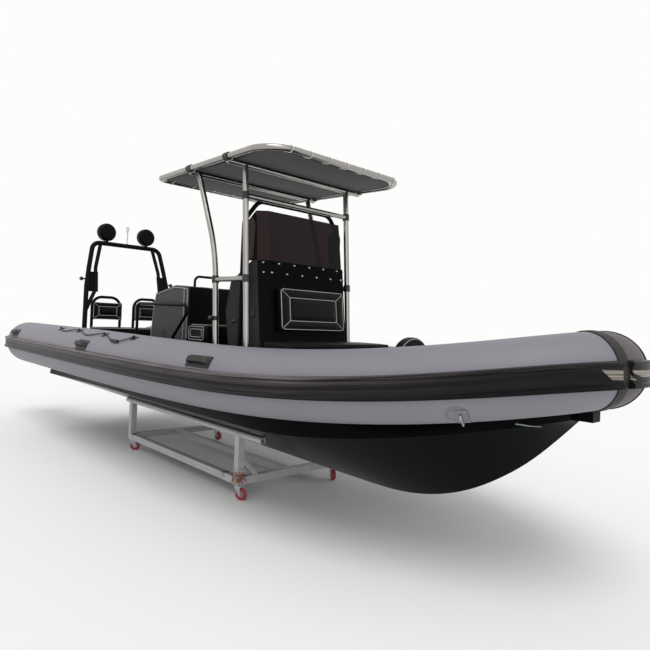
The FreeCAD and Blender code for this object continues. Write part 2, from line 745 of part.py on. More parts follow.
def windscreen():
    # A sheet bent into five panels, leaning aft, its sides cut down towards the helm
    def ring_at(z, narrow, inset):
        front = console_front(z) - 8.0 - inset
        half = CONSOLE_HALF - 8.0 - narrow - inset
        cut = CONSOLE_CHAMFER
        aft = SCREEN_AFT_X - CONSOLE_RAKE * (z - CONSOLE_TOP_FORE)
        return [V(aft, -half, z), V(front - cut, -half, z), V(front, -half + cut, z),
                V(front, half - cut, z), V(front - cut, half, z), V(aft, half, z)]
    wires = []
    for z, narrow in ((CONSOLE_TOP_FORE, 0.0), (SCREEN_TOP_Z, 10.0)):
        loop = ring_at(z, narrow, 0.0) + list(reversed(ring_at(z, narrow, SCREEN_T)))
        wires.append(Part.makePolygon(loop + [loop[0]]))
    sheet = Part.makeLoft(wires, True, True)
    wide = CONSOLE_HALF + 50
    crest = console_front(SCREEN_TOP_Z) - SCREEN_CREST_L
    fall = [V(crest, -wide, SCREEN_TOP_Z), V(SCREEN_AFT_X - 200, -wide, SCREEN_SIDE_Z),
            V(SCREEN_AFT_X - 200, -wide, SCREEN_TOP_Z + 50), V(crest, -wide, SCREEN_TOP_Z + 50)]
    return sheet.cut(extruded(fall, V(0, 2 * wide, 0)))


def console_hoop():
    half = [V(HOOP_X, -HOOP_HALF, DECK_Z), V(HOOP_X, -HOOP_HALF, HOOP_SHOULDER_Z),
            V(HOOP_X, -HOOP_TOP_HALF, HOOP_TOP_Z)]
    return tube(half + [V(p.x, -p.y, p.z) for p in reversed(half)], HOOP_D, 120.0)


console_shell = console_block(0.0).cut(console_block(CONSOLE_WALL))
save("windscreen", windscreen())
save("console_hoop", console_hoop())
cushion = rounded_box(PAD_GAP, PAD_T, -PAD_HALF, PAD_HALF, 0.0, PAD_HIGH_Z - PAD_LOW_Z, 22.0)
cushion.Placement = FreeCAD.Placement(V(console_front(PAD_LOW_Z), 0, PAD_LOW_Z),
                                      FreeCAD.Rotation(V(0, 1, 0), -math.degrees(math.atan(CONSOLE_RAKE))))
save("console_cushion", cushion)

# Helm wheel on the sloping aft face of the console
HELM_SLOPE = math.atan2(HELM_FACE_RUN, CONSOLE_TOP_AFT - HELM_FOOT_Z)
HELM_AXIS = V(-math.cos(HELM_SLOPE), 0, math.sin(HELM_SLOPE))
HELM_SEAT = V(CONSOLE_AFT_X + HELM_FACE_RUN / 2, HELM_Y, 0.5 * (CONSOLE_TOP_AFT + HELM_FOOT_Z))


def helm_wheel():
    rim = Part.makeTorus(HELM_D / 2 - HELM_GRIP / 2, HELM_GRIP / 2, V(0, 0, 90))
    hub = Part.makeCylinder(38.0, 24.0, V(0, 0, HELM_BOSS_L + SEAT_GAP))
    wheel = rim.fuse(hub)
    for k in range(3):
        spoke = Part.makeCylinder(9.0, HELM_D / 2 - HELM_GRIP / 2, V(0, 0, 74), V(1, 0, 0.10))
        spoke.rotate(V(0, 0, 0), V(0, 0, 1), 90.0 + 120.0 * k)
        wheel = wheel.fuse(spoke)
    return wheel.removeSplitter()


def on_helm(shape):
    shape.Placement = FreeCAD.Placement(HELM_SEAT, FreeCAD.Rotation(V(0, 0, 1), HELM_AXIS))
    return shape


save("helm_wheel", on_helm(helm_wheel()))
save("console", console_shell.fuse(on_helm(Part.makeCylinder(HELM_BOSS_D / 2, HELM_BOSS_L))))


# Front seat ahead of the console
def lid(x0, x1, half, z0, z1):
    return rounded_box(x0, x1, -half, half, z0, z1, 18.0)


seat_x0 = CONSOLE_FOOT_X
save("front_seat_base", box(seat_x0, FRONT_SEAT_X, -FRONT_SEAT_HALF, FRONT_SEAT_HALF, DECK_Z, FRONT_SEAT_Z)
     .cut(box(seat_x0 + 20, FRONT_SEAT_X - 20, -FRONT_SEAT_HALF + 20, FRONT_SEAT_HALF - 20, DECK_Z + 20,
              FRONT_SEAT_Z)))
save("front_seat_lid", lid(seat_x0 + 2, FRONT_SEAT_X - 2, FRONT_SEAT_HALF - 2, FRONT_SEAT_Z + PAD_GAP,
                           FRONT_SEAT_Z + SEAT_PAD_T))


# T-top: four polished legs, a perimeter frame with two cross tubes, and a laced canopy
def canopy_z(x):
    return CANOPY_AFT_Z + (CANOPY_FORE_Z - CANOPY_AFT_Z) * (x - CANOPY_AFT_X) / (CANOPY_FORE_X - CANOPY_AFT_X)


def canopy_half(x):
    share = (x - CANOPY_AFT_X) / (CANOPY_FORE_X - CANOPY_AFT_X)
    return CANOPY_HALF_AFT + (CANOPY_HALF_FORE - CANOPY_HALF_AFT) * share


def leg_x(foot_x, z):
    return foot_x - LEG_RAKE * (z - DECK_Z)


def canopy_corners(inset, lift):
    points = []
    for x, sign in ((CANOPY_AFT_X + inset, -1), (CANOPY_FORE_X - inset, -1), (CANOPY_FORE_X - inset, 1),
                    (CANOPY_AFT_X + inset, 1)):
        points.append(V(x, sign * (canopy_half(x) - inset), canopy_z(x) + lift))
    return points


def closed_round_path(points, bends):
    edges = []
    cuts = []
    count = len(points)
    for i in range(count):
        corner = points[i]
        back = (points[i - 1] - corner).normalize()
        ahead = (points[(i + 1) % count] - corner).normalize()
        half = 0.5 * back.getAngle(ahead)
        reach = bends[i] / math.tan(half)
        arc_mid = corner + (back + ahead).normalize() * (bends[i] / math.sin(half) - bends[i])
        cuts.append((corner + back * reach, arc_mid, corner + ahead * reach))
    for i in range(count):
        a, mid, b = cuts[i]
        edges.append(Part.Arc(a, mid, b).toShape())
        edges.append(Part.LineSegment(b, cuts[(i + 1) % count][0]).toShape())
    return Part.Wire(edges)


CANOPY_BENDS = (90.0, 260.0, 260.0, 90.0)


def canopy_frame():
    path = closed_round_path(canopy_corners(0.0, 0.0), CANOPY_BENDS)
    start = path.Edges[1].valueAt(path.Edges[1].FirstParameter)
    way = path.Edges[1].tangentAt(path.Edges[1].FirstParameter)
    start_path = Part.Wire(path.Edges[1:] + path.Edges[:1])
    ring_wire = Part.Wire([Part.Circle(start, way, LEG_D / 2).toShape()])
    frame = start_path.makePipeShell([ring_wire], True, True)
    for x in (AFT_LEG_TOP_X, leg_x(FORE_LEG_FOOT_X, CANOPY_FORE_Z)):
        z = canopy_z(x) - CROSS_DROP
        half = canopy_half(x) - 4.0
        frame = frame.fuse(Part.makeCylinder(CROSS_D / 2, 2 * half, V(x, -half, z), V(0, 1, 0)))
    return frame


def canopy():
    inset = LEG_D / 2 + LACING_GAP
    bends = [b - inset if b > inset else b for b in CANOPY_BENDS]
    outline = closed_round_path(canopy_corners(inset, CANOPY_LIFT), bends)
    return Part.Face(outline).extrude(V(0, 0, CANOPY_T))


LEG_START_Z = DECK_Z - 5.0
below_deck = box(TRANSOM_X, DECK_FLAT_X, -COLLAR_HALF, COLLAR_HALF, KEEL_LOW_Z, DECK_Z)


def fore_leg():
    top = canopy_z(leg_x(FORE_LEG_FOOT_X, CANOPY_FORE_Z)) - CROSS_DROP
    points = [V(leg_x(FORE_LEG_FOOT_X, z), -FORE_LEG_Y, z) for z in (LEG_START_Z, top)]
    return tube(points, LEG_D).cut(canopy_frame()).cut(below_deck)


def aft_leg():
    top = canopy_z(AFT_LEG_TOP_X) - CROSS_DROP
    points = [V(leg_x(AFT_LEG_FOOT_X, z), -AFT_LEG_Y, z) for z in (LEG_START_Z, AFT_LEG_BEND_Z)]
    points.append(V(AFT_LEG_TOP_X, -AFT_LEG_Y - 32.0, top))
    return tube(points, LEG_D, 1500.0).cut(canopy_frame()).cut(below_deck)


save("t_top_fore_legs", pair(fore_leg()))
save("t_top_aft_legs", pair(aft_leg()))
save("canopy_frame", canopy_frame())
save("canopy", canopy())


def t_top_crossbars():
    x = leg_x(FORE_LEG_FOOT_X, CROSSBAR_Z)
    across = tube([V(x, -FORE_LEG_Y, CROSSBAR_Z), V(x, FORE_LEG_Y, CROSSBAR_Z)], CROSS_D)
    across = across.cut(fore_leg()).cut(mirrored(fore_leg()))
    side_bar = tube([V(leg_x(AFT_LEG_FOOT_X, SIDE_BAR_Z), -AFT_LEG_Y, SIDE_BAR_Z),
                     V(leg_x(FORE_LEG_FOOT_X, SIDE_BAR_Z), -FORE_LEG_Y, SIDE_BAR_Z)], CROSS_D)
    side_bar = side_bar.cut(fore_leg()).cut(aft_leg())
    return Part.makeCompound([across, side_bar, mirrored(side_bar)])


save("t_top_crossbars", t_top_crossbars())


# Helm seat: a tall upholstered unit with a bench cushion before it
def helm_unit():
    side_view = [(0.0, DECK_Z), (0.0, UNIT_TOP_Z), UNIT_CREST, UNIT_SHOULDER, UNIT_AFT, (UNIT_FOOT_L, DECK_Z)]
    return extruded([V(UNIT_FRONT_X - back, -UNIT_HALF, z) for back, z in side_view], V(0, 2 * UNIT_HALF, 0))


save("helm_seat_unit", helm_unit())
box_half = UNIT_HALF - HELM_BOX_INSET
save("helm_seat_box", box(UNIT_FRONT_X, UNIT_FRONT_X + HELM_BOX_L, -box_half, box_half, DECK_Z, BENCH_Z))
save("helm_seat_cushion", rounded_box(UNIT_FRONT_X + PAD_GAP, UNIT_FRONT_X + HELM_CUSHION_L, -UNIT_HALF,
                                      UNIT_HALF, BENCH_Z + PAD_GAP, BENCH_Z + HELM_CUSHION_T, 45.0))


def helm_side_rail():
    y = -UNIT_HALF - SIDE_RAIL_OUT
    aft = UNIT_FRONT_X - SIDE_RAIL_AFT
    fore = UNIT_FRONT_X + SIDE_RAIL_FORE
    points = [V(aft, y, DECK_Z), V(aft, y, SIDE_RAIL_Z), V(fore, y, SIDE_RAIL_Z - SIDE_RAIL_DROP),
              V(UNIT_FRONT_X - SIDE_RAIL_TURN[0], y, SIDE_RAIL_TURN[1]),
              V(UNIT_FRONT_X - SIDE_RAIL_END[0], -UNIT_HALF + RAIL_TUBE_D / 2, SIDE_RAIL_END[1])]
    return tube(points, RAIL_TUBE_D, 60.0).cut(helm_unit())


def helm_top_rail():
    x = UNIT_FRONT_X - TOP_RAIL_BACK
    high = UNIT_TOP_Z + TOP_RAIL_RISE
    points = [V(x, -TOP_RAIL_HALF, UNIT_TOP_Z), V(x, -TOP_RAIL_HALF, high), V(x, TOP_RAIL_HALF, high),
              V(x, TOP_RAIL_HALF, UNIT_TOP_Z)]
    return tube(points, RAIL_TUBE_D - 6, 55.0).cut(helm_unit())


side_rail = helm_side_rail()
save("helm_seat_rails", Part.makeCompound([side_rail, mirrored(side_rail), helm_top_rail()]))

# Rear bench with two padded backrest hoops
BENCH_AFT_X = TRANSOM_X + BENCH_OFF
BENCH_FORE_X = BENCH_AFT_X + BENCH_L
BACK_X = BENCH_AFT_X + BACK_INSET
BACK_TOP_Z = REAR_SEAT_Z + BACK_RISE
save("rear_bench", box(BENCH_AFT_X, BENCH_FORE_X, -BENCH_HALF, BENCH_HALF, DECK_Z, REAR_SEAT_Z))
save("rear_bench_cushion", rounded_box(BENCH_FORE_X - REAR_CUSHION_L, BENCH_FORE_X, -BENCH_HALF, BENCH_HALF,
                                       REAR_SEAT_Z + PAD_GAP, REAR_SEAT_Z + SEAT_PAD_T, 20.0))


def back_hoop(y):
    half = BACK_WIDTH / 2
    points = [V(BACK_X, y - half, REAR_SEAT_Z), V(BACK_X, y - half, BACK_TOP_Z),
              V(BACK_X, y + half, BACK_TOP_Z), V(BACK_X, y + half, REAR_SEAT_Z)]
    return tube(points, HOOP_D, 130.0)


save("backrest_hoops", pair(back_hoop(-BACK_Y)))
pad_x = BACK_X + HOOP_D / 2
pad_z = BACK_TOP_Z - BACK_PAD_LOW
backrest_pad = rounded_box(pad_x + PAD_GAP, pad_x + BACK_PAD_T, -BACK_Y - BACK_PAD_HALF,
                           -BACK_Y + BACK_PAD_HALF, pad_z, pad_z + BACK_PAD_H, 16.0)
save("backrest_pads", pair(backrest_pad))


# Arch: outer hoop and two inner struts with gussets, all leaning aft; lamps and light mast on its bar
def arch_point(y, z):
    return V(ARCH_FOOT_X - ARCH_RAKE * (z - DECK_Z), y, z)


def arch_line(corners):
    return [arch_point(-half, ARCH_TOP_Z - drop) for half, drop in corners]


def arch_frame():
    half = [arch_point(-ARCH_FOOT_HALF, DECK_Z - ARCH_FOOT_SINK)] + arch_line(ARCH_CORNERS)
    outer = tube(half + [V(p.x, -p.y, p.z) for p in reversed(half)], ARCH_D, 110.0)
    inner = tube(arch_line(STRUT_CORNERS), STRUT_D, 200.0)
    gusset = extruded(arch_line(GUSSET_CORNERS), V(GUSSET_T, 0, 0))
    side_frame = inner.fuse(gusset)
    return outer.cut(below_deck).fuse(side_frame).fuse(mirrored(side_frame))


save("arch_frame", arch_frame())


def arch_bar(y):
    # The arch's top bar near y, to be cut from what stands on it
    middle = arch_point(y, ARCH_TOP_Z)
    return tube([middle - V(0, ARCH_D, 0), middle + V(0, ARCH_D, 0)], ARCH_D)


def spotlight():
    centre = arch_point(-LAMP_Y, ARCH_TOP_Z + LAMP_RISE)
    lamp = Part.makeCylinder(LAMP_D / 2, LAMP_T, centre - V(LAMP_T / 2, 0, 0), V(1, 0, 0))
    lamp = lamp.makeFillet(0.3 * LAMP_T, lamp.Edges)
    stem = tube([arch_point(-LAMP_Y, ARCH_TOP_Z), centre], LAMP_STEM_D).cut(arch_bar(-LAMP_Y))
    return lamp.fuse(stem)


save("spotlights", pair(spotlight()))
mast_foot = arch_point(0, ARCH_TOP_Z)
mast = Part.makeCylinder(MAST_D / 2, MAST_L, mast_foot).cut(arch_bar(0))
save("light_mast", mast.fuse(Part.makeCylinder(LANTERN_D / 2, LANTERN_L, mast_foot + V(0, 0, MAST_L - 10.0))))

# Bow locker, its lid and the padded bolster behind it
save("bow_locker", box(LOCKER_X0, LOCKER_X1, -LOCKER_HALF, LOCKER_HALF, DECK_Z, LOCKER_Z).cut(hull_solid)
     .cut(box(LOCKER_X0 + 20, LOCKER_X1 - 20, -LOCKER_HALF + 20, LOCKER_HALF - 20, LOCKER_FLOOR_Z, LOCKER_Z)))
save("bow_locker_lid", lid(LOCKER_X0 + 2, LOCKER_X1 - 2, LOCKER_HALF - 2, LOCKER_Z + PAD_GAP,
                           LOCKER_Z + SEAT_PAD_T))
bolster_mid_z = BOLSTER_TOP_Z - BOLSTER_HALF
bolster = box(BOLSTER_X0, BOLSTER_X0 + BOLSTER_T, -BOLSTER_HALF, BOLSTER_HALF, DECK_Z, bolster_mid_z)
bolster_head = Part.makeCylinder(BOLSTER_HALF, BOLSTER_T, V(BOLSTER_X0, 0, bolster_mid_z), V(1, 0, 0))
bolster = bolster.fuse(bolster_head).removeSplitter()
save("bow_bolster", bolster.makeFillet(14.0, [e for e in bolster.Edges if e.BoundBox.XLength < 1.0])
     .cut(hull_solid))


# Carry handles, grab line and its patches on the collar
def round_sector(s, degrees, arc, length, low, high):
    # Part of a ring round the collar's axis at station s
    centre, along, outward, upward = axis_frame(s)
    a = math.radians(degrees - arc / 2.0)
    first = outward * math.cos(a) + upward * math.sin(a)
    aft = along * -1.0
    sector = Part.makeCylinder(high, length, V(0, 0, -length / 2), V(0, 0, 1), arc)
    sector = sector.cut(Part.makeCylinder(low, length, V(0, 0, -length / 2)))
    sector.Placement = FreeCAD.Placement(centre, FreeCAD.Rotation(first, aft.cross(first), aft, "ZXY"))
    return sector


def carry_handle(s, degrees):
    centre, along, outward, upward = axis_frame(s)
    r = axis_r(s)
    a = math.radians(degrees)
    normal = outward * math.cos(a) + upward * math.sin(a)
    across = along.cross(normal)
    base = round_sector(s, degrees, HANDLE_ARC, HANDLE_L, r - SINK, r + HANDLE_BASE_T)
    top = r + HANDLE_RISE
    reach = HANDLE_L / 2 - 4.0
    half = [(reach - GRIP_FOOT_L - GRIP_T, top - GRIP_T), (reach - GRIP_FOOT_L, r - SINK), (reach, r - SINK),
            (reach - GRIP_T, top - GRIP_T), (reach - GRIP_FOOT_L, top)]
    outline = half + [(-u, v) for u, v in reversed(half)]
    places = [centre + along * u + normal * v - across * (GRIP_W / 2) for u, v in outline]
    return base.fuse(extruded(places, across * GRIP_W)).removeSplitter()


def cord_point(s, degrees, lift):
    return round_point(s, degrees, axis_r(s) + lift)


cord_points = [cord_point(*place) for place in CORD_PLACES]
cord_knots = [0.0]
for k in range(1, len(cord_points)):
    cord_knots.append(cord_knots[-1] + (cord_points[k] - cord_points[k - 1]).Length)
cord_line = Part.BSplineCurve()
cord_line.interpolate(Points=cord_points, Parameters=cord_knots)


def along_cord(distance, dia, length):
    # A short sleeve on the cord's line
    way = cord_line.tangent(distance)[0]
    middle = cord_line.value(distance)
    return Part.makeCylinder(dia / 2, length, middle - way * (length / 2), way)


def grab_line():
    first = cord_line.tangent(0.0)[0]
    section = Part.Circle(cord_points[0], first, CORD_D / 2)
    turn = 2 * math.pi / CORD_SIDES
    arcs = [Part.ArcOfCircle(section, k * turn, (k + 1) * turn) for k in range(CORD_SIDES)]
    outline = Part.Wire([arc.toShape() for arc in arcs])
    cord = Part.Wire([cord_line.toShape()]).makePipeShell([outline], True, True)
    return cord.fuse(along_cord(cord_knots[6], CORD_GRIP_D, CORD_GRIP_L)).removeSplitter()


def line_patch(k):
    s, degrees = PATCH_PLACES[k]
    r = axis_r(s)
    patch = round_sector(s, degrees, PATCH_ARC, PATCH_L, r - SINK, r + PATCH_T)
    held = cord_knots[[place[0] for place in CORD_PLACES].index(s)]
    bore = along_cord(held, CORD_D + 2 * CORD_BORE_GAP, 2 * SLEEVE_L)
    return patch.fuse(along_cord(held, SLEEVE_D, SLEEVE_L).cut(bore))


line_solid = grab_line()
patches = [line_patch(k).cut(side_room).cut(line_solid) for k in range(len(PATCH_PLACES))]
handles = [carry_handle(*place).cut(side_room) for place in HANDLE_PLACES]
save("grab_line", pair(line_solid.cut(side_room)))
save("grab_line_patches", pair(Part.makeCompound(patches)))
save("carry_handles", pair(Part.makeCompound(handles)))


# Tow eyes: a rod bent to a U on a patch under each side of the bow
def tow_eye():
    r = axis_r(TOW_EYE_S)
    high, low = TOW_EYE_ANGLES
    feet = [(high, r - SINK), (high, r + TOW_EYE_REACH), (low, r + TOW_EYE_REACH), (low, r - SINK)]
    places = [round_point(TOW_EYE_S, degrees, reach) for degrees, reach in feet]
    rod = tube(places, TOW_EYE_D, 1.5 * TOW_EYE_D)
    arc = high - low + PATCH_ARC
    patch = round_sector(TOW_EYE_S, 0.5 * (high + low), arc, PATCH_L, r - SINK, r + PATCH_T)
    return patch.fuse(rod).cut(side_room)


save("tow_eyes", pair(tow_eye()))


# Clamps on the T-top tubes, round a leg where a bar meets it
def leg_clamp(foot_x, y, z, length):
    way = V(-LEG_RAKE, 0, 1)
    way.normalize()
    start = V(leg_x(foot_x, z), y, z) - way * (length / 2)
    return Part.makeCylinder(CLAMP_D / 2, length, start, way).cut(
        Part.makeCylinder(LEG_D / 2 + CLAMP_GAP, length, start, way))


def tube_clamps():
    bars = t_top_crossbars()
    clamps = [leg_clamp(FORE_LEG_FOOT_X, -FORE_LEG_Y, SIDE_BAR_Z, CLAMP_L),
              leg_clamp(FORE_LEG_FOOT_X, -FORE_LEG_Y, CROSSBAR_Z, CLAMP_L),
              leg_clamp(AFT_LEG_FOOT_X, -AFT_LEG_Y, SIDE_BAR_Z, CLAMP_L)]
    clamps = [clamp.cut(bars) for clamp in clamps]
    ball_ring = leg_clamp(AFT_LEG_FOOT_X, -AFT_LEG_Y, BALL_Z, BALL_RING_L)
    ball_y = -AFT_LEG_Y - CLAMP_D / 2 - 0.4 * BALL_D
    ball = Part.makeSphere(BALL_D / 2, V(leg_x(AFT_LEG_FOOT_X, BALL_Z), ball_y, BALL_Z))
    clamps.append(ball_ring.fuse(ball))
    return Part.makeCompound(clamps)


save("tube_clamps", pair(tube_clamps()))


# Side lights on the arch legs, and the throttle beside the helm
def side_light():
    # Its stalk starts on the leg's axis between two of the arch's corners
    low, high = ARCH_CORNERS[1:3]
    share = (low[1] - SIDE_LIGHT_DROP) / (low[1] - high[1])
    spot = arch_point(-low[0] - (high[0] - low[0]) * share, ARCH_TOP_Z - SIDE_LIGHT_DROP)
    leg = tube(arch_line((low, high)), ARCH_D)
    stalk = Part.makeCylinder(STALK_D / 2, STALK_L, spot, V(0, -1, 0)).cut(leg)
    return stalk.fuse(Part.makeSphere(SIDE_LIGHT_D / 2, spot - V(0, STALK_L + 0.3 * SIDE_LIGHT_D, 0)))


save("side_lights", pair(side_light()))


def throttle():
    length, wide, tall = THROTTLE_BOX
    across = -THROTTLE_Y
    unit = Part.makeBox(length, wide, tall, V(-length / 2, across - wide / 2, 0.0))
    arm_y = across + 0.7 * wide
    pivot = Part.makeCylinder(16.0, 0.5 * wide, V(0, arm_y - 0.25 * wide, 0.6 * tall), V(0, 1, 0))
    lean = V(0.35, 0, 1)
    lean.normalize()
    foot = V(0, arm_y, 0.6 * tall)
    lever = Part.makeCylinder(7.0, LEVER_L, foot, lean)
    return unit.fuse(lever).fuse(pivot).fuse(Part.makeSphere(18.0, foot + lean * LEVER_L))


save("helm_throttle", on_helm(throttle()))
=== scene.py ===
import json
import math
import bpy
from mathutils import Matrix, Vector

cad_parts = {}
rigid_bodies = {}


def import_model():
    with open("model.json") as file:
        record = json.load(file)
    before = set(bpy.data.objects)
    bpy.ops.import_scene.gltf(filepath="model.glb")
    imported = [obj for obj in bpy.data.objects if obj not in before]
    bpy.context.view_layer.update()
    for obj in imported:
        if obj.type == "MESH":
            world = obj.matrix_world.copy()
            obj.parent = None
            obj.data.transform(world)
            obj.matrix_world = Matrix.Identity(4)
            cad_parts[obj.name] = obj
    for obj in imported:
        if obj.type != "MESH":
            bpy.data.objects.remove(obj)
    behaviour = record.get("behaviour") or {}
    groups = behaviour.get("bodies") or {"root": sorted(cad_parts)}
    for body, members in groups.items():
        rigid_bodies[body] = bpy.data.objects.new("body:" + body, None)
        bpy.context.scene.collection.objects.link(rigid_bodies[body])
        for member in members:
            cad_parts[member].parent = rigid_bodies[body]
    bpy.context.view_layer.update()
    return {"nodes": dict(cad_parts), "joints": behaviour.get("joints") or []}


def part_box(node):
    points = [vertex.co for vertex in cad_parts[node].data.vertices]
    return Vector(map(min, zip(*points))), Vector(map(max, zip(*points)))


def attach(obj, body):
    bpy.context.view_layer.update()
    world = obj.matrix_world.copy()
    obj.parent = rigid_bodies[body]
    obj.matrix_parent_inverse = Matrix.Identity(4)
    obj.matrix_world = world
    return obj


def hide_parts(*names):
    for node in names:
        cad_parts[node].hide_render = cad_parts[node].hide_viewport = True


bl_info = {
    "name": "Rigid inflatable boat on its cradle",
    "version": (1, 0, 0),
    "blender": (4, 5, 0),
    "location": "View3D > Sidebar > Boat",
    "description": "Dresses the boat with its fabrics, cushions, canopy, fastenings, finishes and stage",
    "category": "Object",
}

import bmesh
import bpy
from bpy.props import FloatProperty, FloatVectorProperty, IntProperty, PointerProperty
from mathutils import Matrix, Vector

# The start file's own cube, lamp and camera are no part of the boat
for left_over in list(bpy.data.objects):
    bpy.data.objects.remove(left_over)

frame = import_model()
NODES = frame["nodes"]

# Sizes in metres, as in the part's source
DECK_Z = 0.865
RAKE = 0.1205
CONSOLE_FOOT_X = 1.391
CONSOLE_HALF = 0.500
CONSOLE_CHAMFER = 0.072
PAD_LOW_Z = 1.432
PAD_HIGH_Z = 1.785
PAD_HALF = 0.363
PAD_T = 0.062
CANOPY_AFT = Vector((-0.222, 0.726, 2.863))
CANOPY_FORE = Vector((1.683, 0.787, 2.817))
CANOPY_INSET = 0.053
CANOPY_LIFT = -0.0067
FRAME_TUBE_R = 0.025
CROSS_TUBES_X = (0.442, 1.084)


def colour(code):
    """Linear red, green and blue of an sRGB hex colour"""
    shares = [int(code[i:i + 2], 16) / 255 for i in (0, 2, 4)]
    return tuple(c / 12.92 if c <= 0.04045 else ((c + 0.055) / 1.055) ** 2.4 for c in shares)


def paint(name, about, code):
    return FloatVectorProperty(name=name, description=about, subtype="COLOR", size=3, min=0.0, max=1.0,
                               default=colour(code))


def length(name, about, metres):
    return FloatProperty(name=name, description=about, default=metres, min=0.0, unit="LENGTH")


class BoatColours(bpy.types.PropertyGroup):
    """Colours of the boat's finishes"""
    collar: paint("Collar", "Coated fabric of the inflated collar", "827f87")
    strake: paint("Strake", "Rubber of the rubbing strake", "131112")
    nose: paint("Nose", "Coated fabric of the collar's nose section", "554b4c")
    hull: paint("Hull", "Gelcoat of the hull", "050908")
    deck: paint("Deck", "Non-slip paint on the deck", "5c5e60")
    console: paint("Console", "Gelcoat of the console and seat boxes", "060707")
    console_side: paint("Console side", "Satin side panels of the console", "373739")
    screen: paint("Screen", "Tint of the acrylic windscreen", "1b0f10")
    vinyl: paint("Vinyl", "Black seat vinyl", "0a0a0b")
    vinyl_side: paint("Side vinyl", "Dark grey vinyl of the helm seat's sides", "434145")
    piping: paint("Piping", "Light piping along the cushions' seams", "b4b3ae")
    steel: paint("Tube", "Polished tubes of the T-top", "a6a39f")
    canopy: paint("Canopy", "Woven cloth of the canopy", "242426")
    black_paint: paint("Black paint", "Powder coat of the arch, hoops and rails", "050506")
    cradle: paint("Cradle", "Paint of the cradle", "b2b3b6")
    rust: paint("Rust", "Rust at the cradle's welds", "7d4a36")
    wheel: paint("Wheel", "Cast treads of the casters", "a32637")
    floor: paint("Floor", "Floor and background", "fdfdfc")


class BoatSizes(bpy.types.PropertyGroup):
    """Sizes of the trim and soft parts"""
    piping: length("Piping radius", "Radius of the cushions' piping", 0.0036)
    crown: length("Cushion crown", "How far a cushion's top stands above its seams", 0.013)
    seam: length("Seam width", "Width over which a cushion dips to a seam", 0.022)
    bolt: length("Bolt head", "Diameter of the screen's bolt heads", 0.013)
    lacing: length("Lacing radius", "Radius of the canopy's lacing cord", 0.0028)
    lacing_pitch: length("Lacing pitch", "Distance between the canopy's lacing loops", 0.215)
    sag: length("Canopy sag", "How far the canopy dips between its cross tubes", 0.012)
    smoothness: IntProperty(name="Smoothness", description="Subdivision levels of the cushions", default=1,
                            min=0, max=2)


# ---------------------------------------------------------------- finishes
def add(tree, kind, inputs=None, **settings):
    """Adds a node with its settings; an input takes a value or another node's output"""
    node = tree.nodes.new(kind)
    for name, value in settings.items():
        setattr(node, name, value)
    for name, value in (inputs or {}).items():
        socket = node.inputs[name]
        if isinstance(value, bpy.types.NodeSocket):
            tree.links.new(value, socket)
        else:
            socket.default_value = value
    return node


def per_metre(millimetres):
    """Scale of a pattern whose features are this far apart"""
    return 1000.0 / millimetres


def new_finish(name, base, roughness, **sockets):
    """A material with its shader's plain values; returns its tree, shader and place on the object"""
    material = bpy.data.materials.new(name)
    material.use_nodes = True
    tree = material.node_tree
    shader = tree.nodes["Principled BSDF"]
    shader.inputs["Base Color"].default_value = (*base, 1.0)
    shader.inputs["Roughness"].default_value = roughness
    for socket, value in sockets.items():
        shader.inputs[socket.replace("_", " ")].default_value = value
    place = add(tree, "ShaderNodeTexCoord").outputs["Object"]
    return material, tree, shader, place


def tint(base, share):
    """The same colour, lighter above 1 and darker below"""
    return (*[min(1.0, c * share) for c in base], 1.0)


# Metres, unless said otherwise
EYE_RING = 0.062, 0.010     # radius and half breadth of the darker ring round a towing eye
SCRATCH_REACH = 0.0035      # half a scratch's breadth
ROD_REACH = 0.0085          # how near to a towing eye's centre line counts as its rod
LEVEL_ENOUGH = 0.85         # upward share of a normal above which a face is level
DECK_ABOVE = 0.80           # level faces higher than this are deck


def noise_of(tree, place, millimetres, detail, **more):
    """Noise whose features are this far apart"""
    return add(tree, "ShaderNodeTexNoise",
               {"Vector": place, "Scale": per_metre(millimetres), "Detail": detail, **more})


def maths(tree, operation, *values):
    return add(tree, "ShaderNodeMath", dict(enumerate(values)), operation=operation).outputs[0]


def blend(tree, share, first, second):
    """The first colour where share is 0, the second where it is 1"""
    return add(tree, "ShaderNodeMix", {0: share, 6: first, 7: second}, data_type="RGBA").outputs[2]


def roughen(tree, shader, value, low, high):
    """Roughness from low to high as the value goes from 0 to 1"""
    rough = add(tree, "ShaderNodeMapRange", {"Value": value, "To Min": low, "To Max": high})
    tree.links.new(rough.outputs[0], shader.inputs["Roughness"])


def emboss(tree, shader, height, strength, depth):
    """Fine relief, its depth in metres"""
    bump = add(tree, "ShaderNodeBump", {"Height": height, "Strength": strength, "Distance": depth})
    tree.links.new(bump.outputs[0], shader.inputs["Normal"])


def off_segment(tree, place, start, end):
    """Distance from the straight line between two points"""
    way = Vector(end) - Vector(start)
    run = add(tree, "ShaderNodeVectorMath", {0: place, 1: start}, operation="SUBTRACT").outputs[0]
    share = add(tree, "ShaderNodeVectorMath", {0: run, 1: tuple(way / way.length_squared)},
                operation="DOT_PRODUCT")
    held = add(tree, "ShaderNodeClamp", {"Value": share.outputs["Value"]})
    foot = add(tree, "ShaderNodeVectorMath", {0: tuple(way), "Scale": held.outputs[0]}, operation="SCALE")
    return add(tree, "ShaderNodeVectorMath", {0: run, 1: foot.outputs[0]},
               operation="DISTANCE").outputs["Value"]


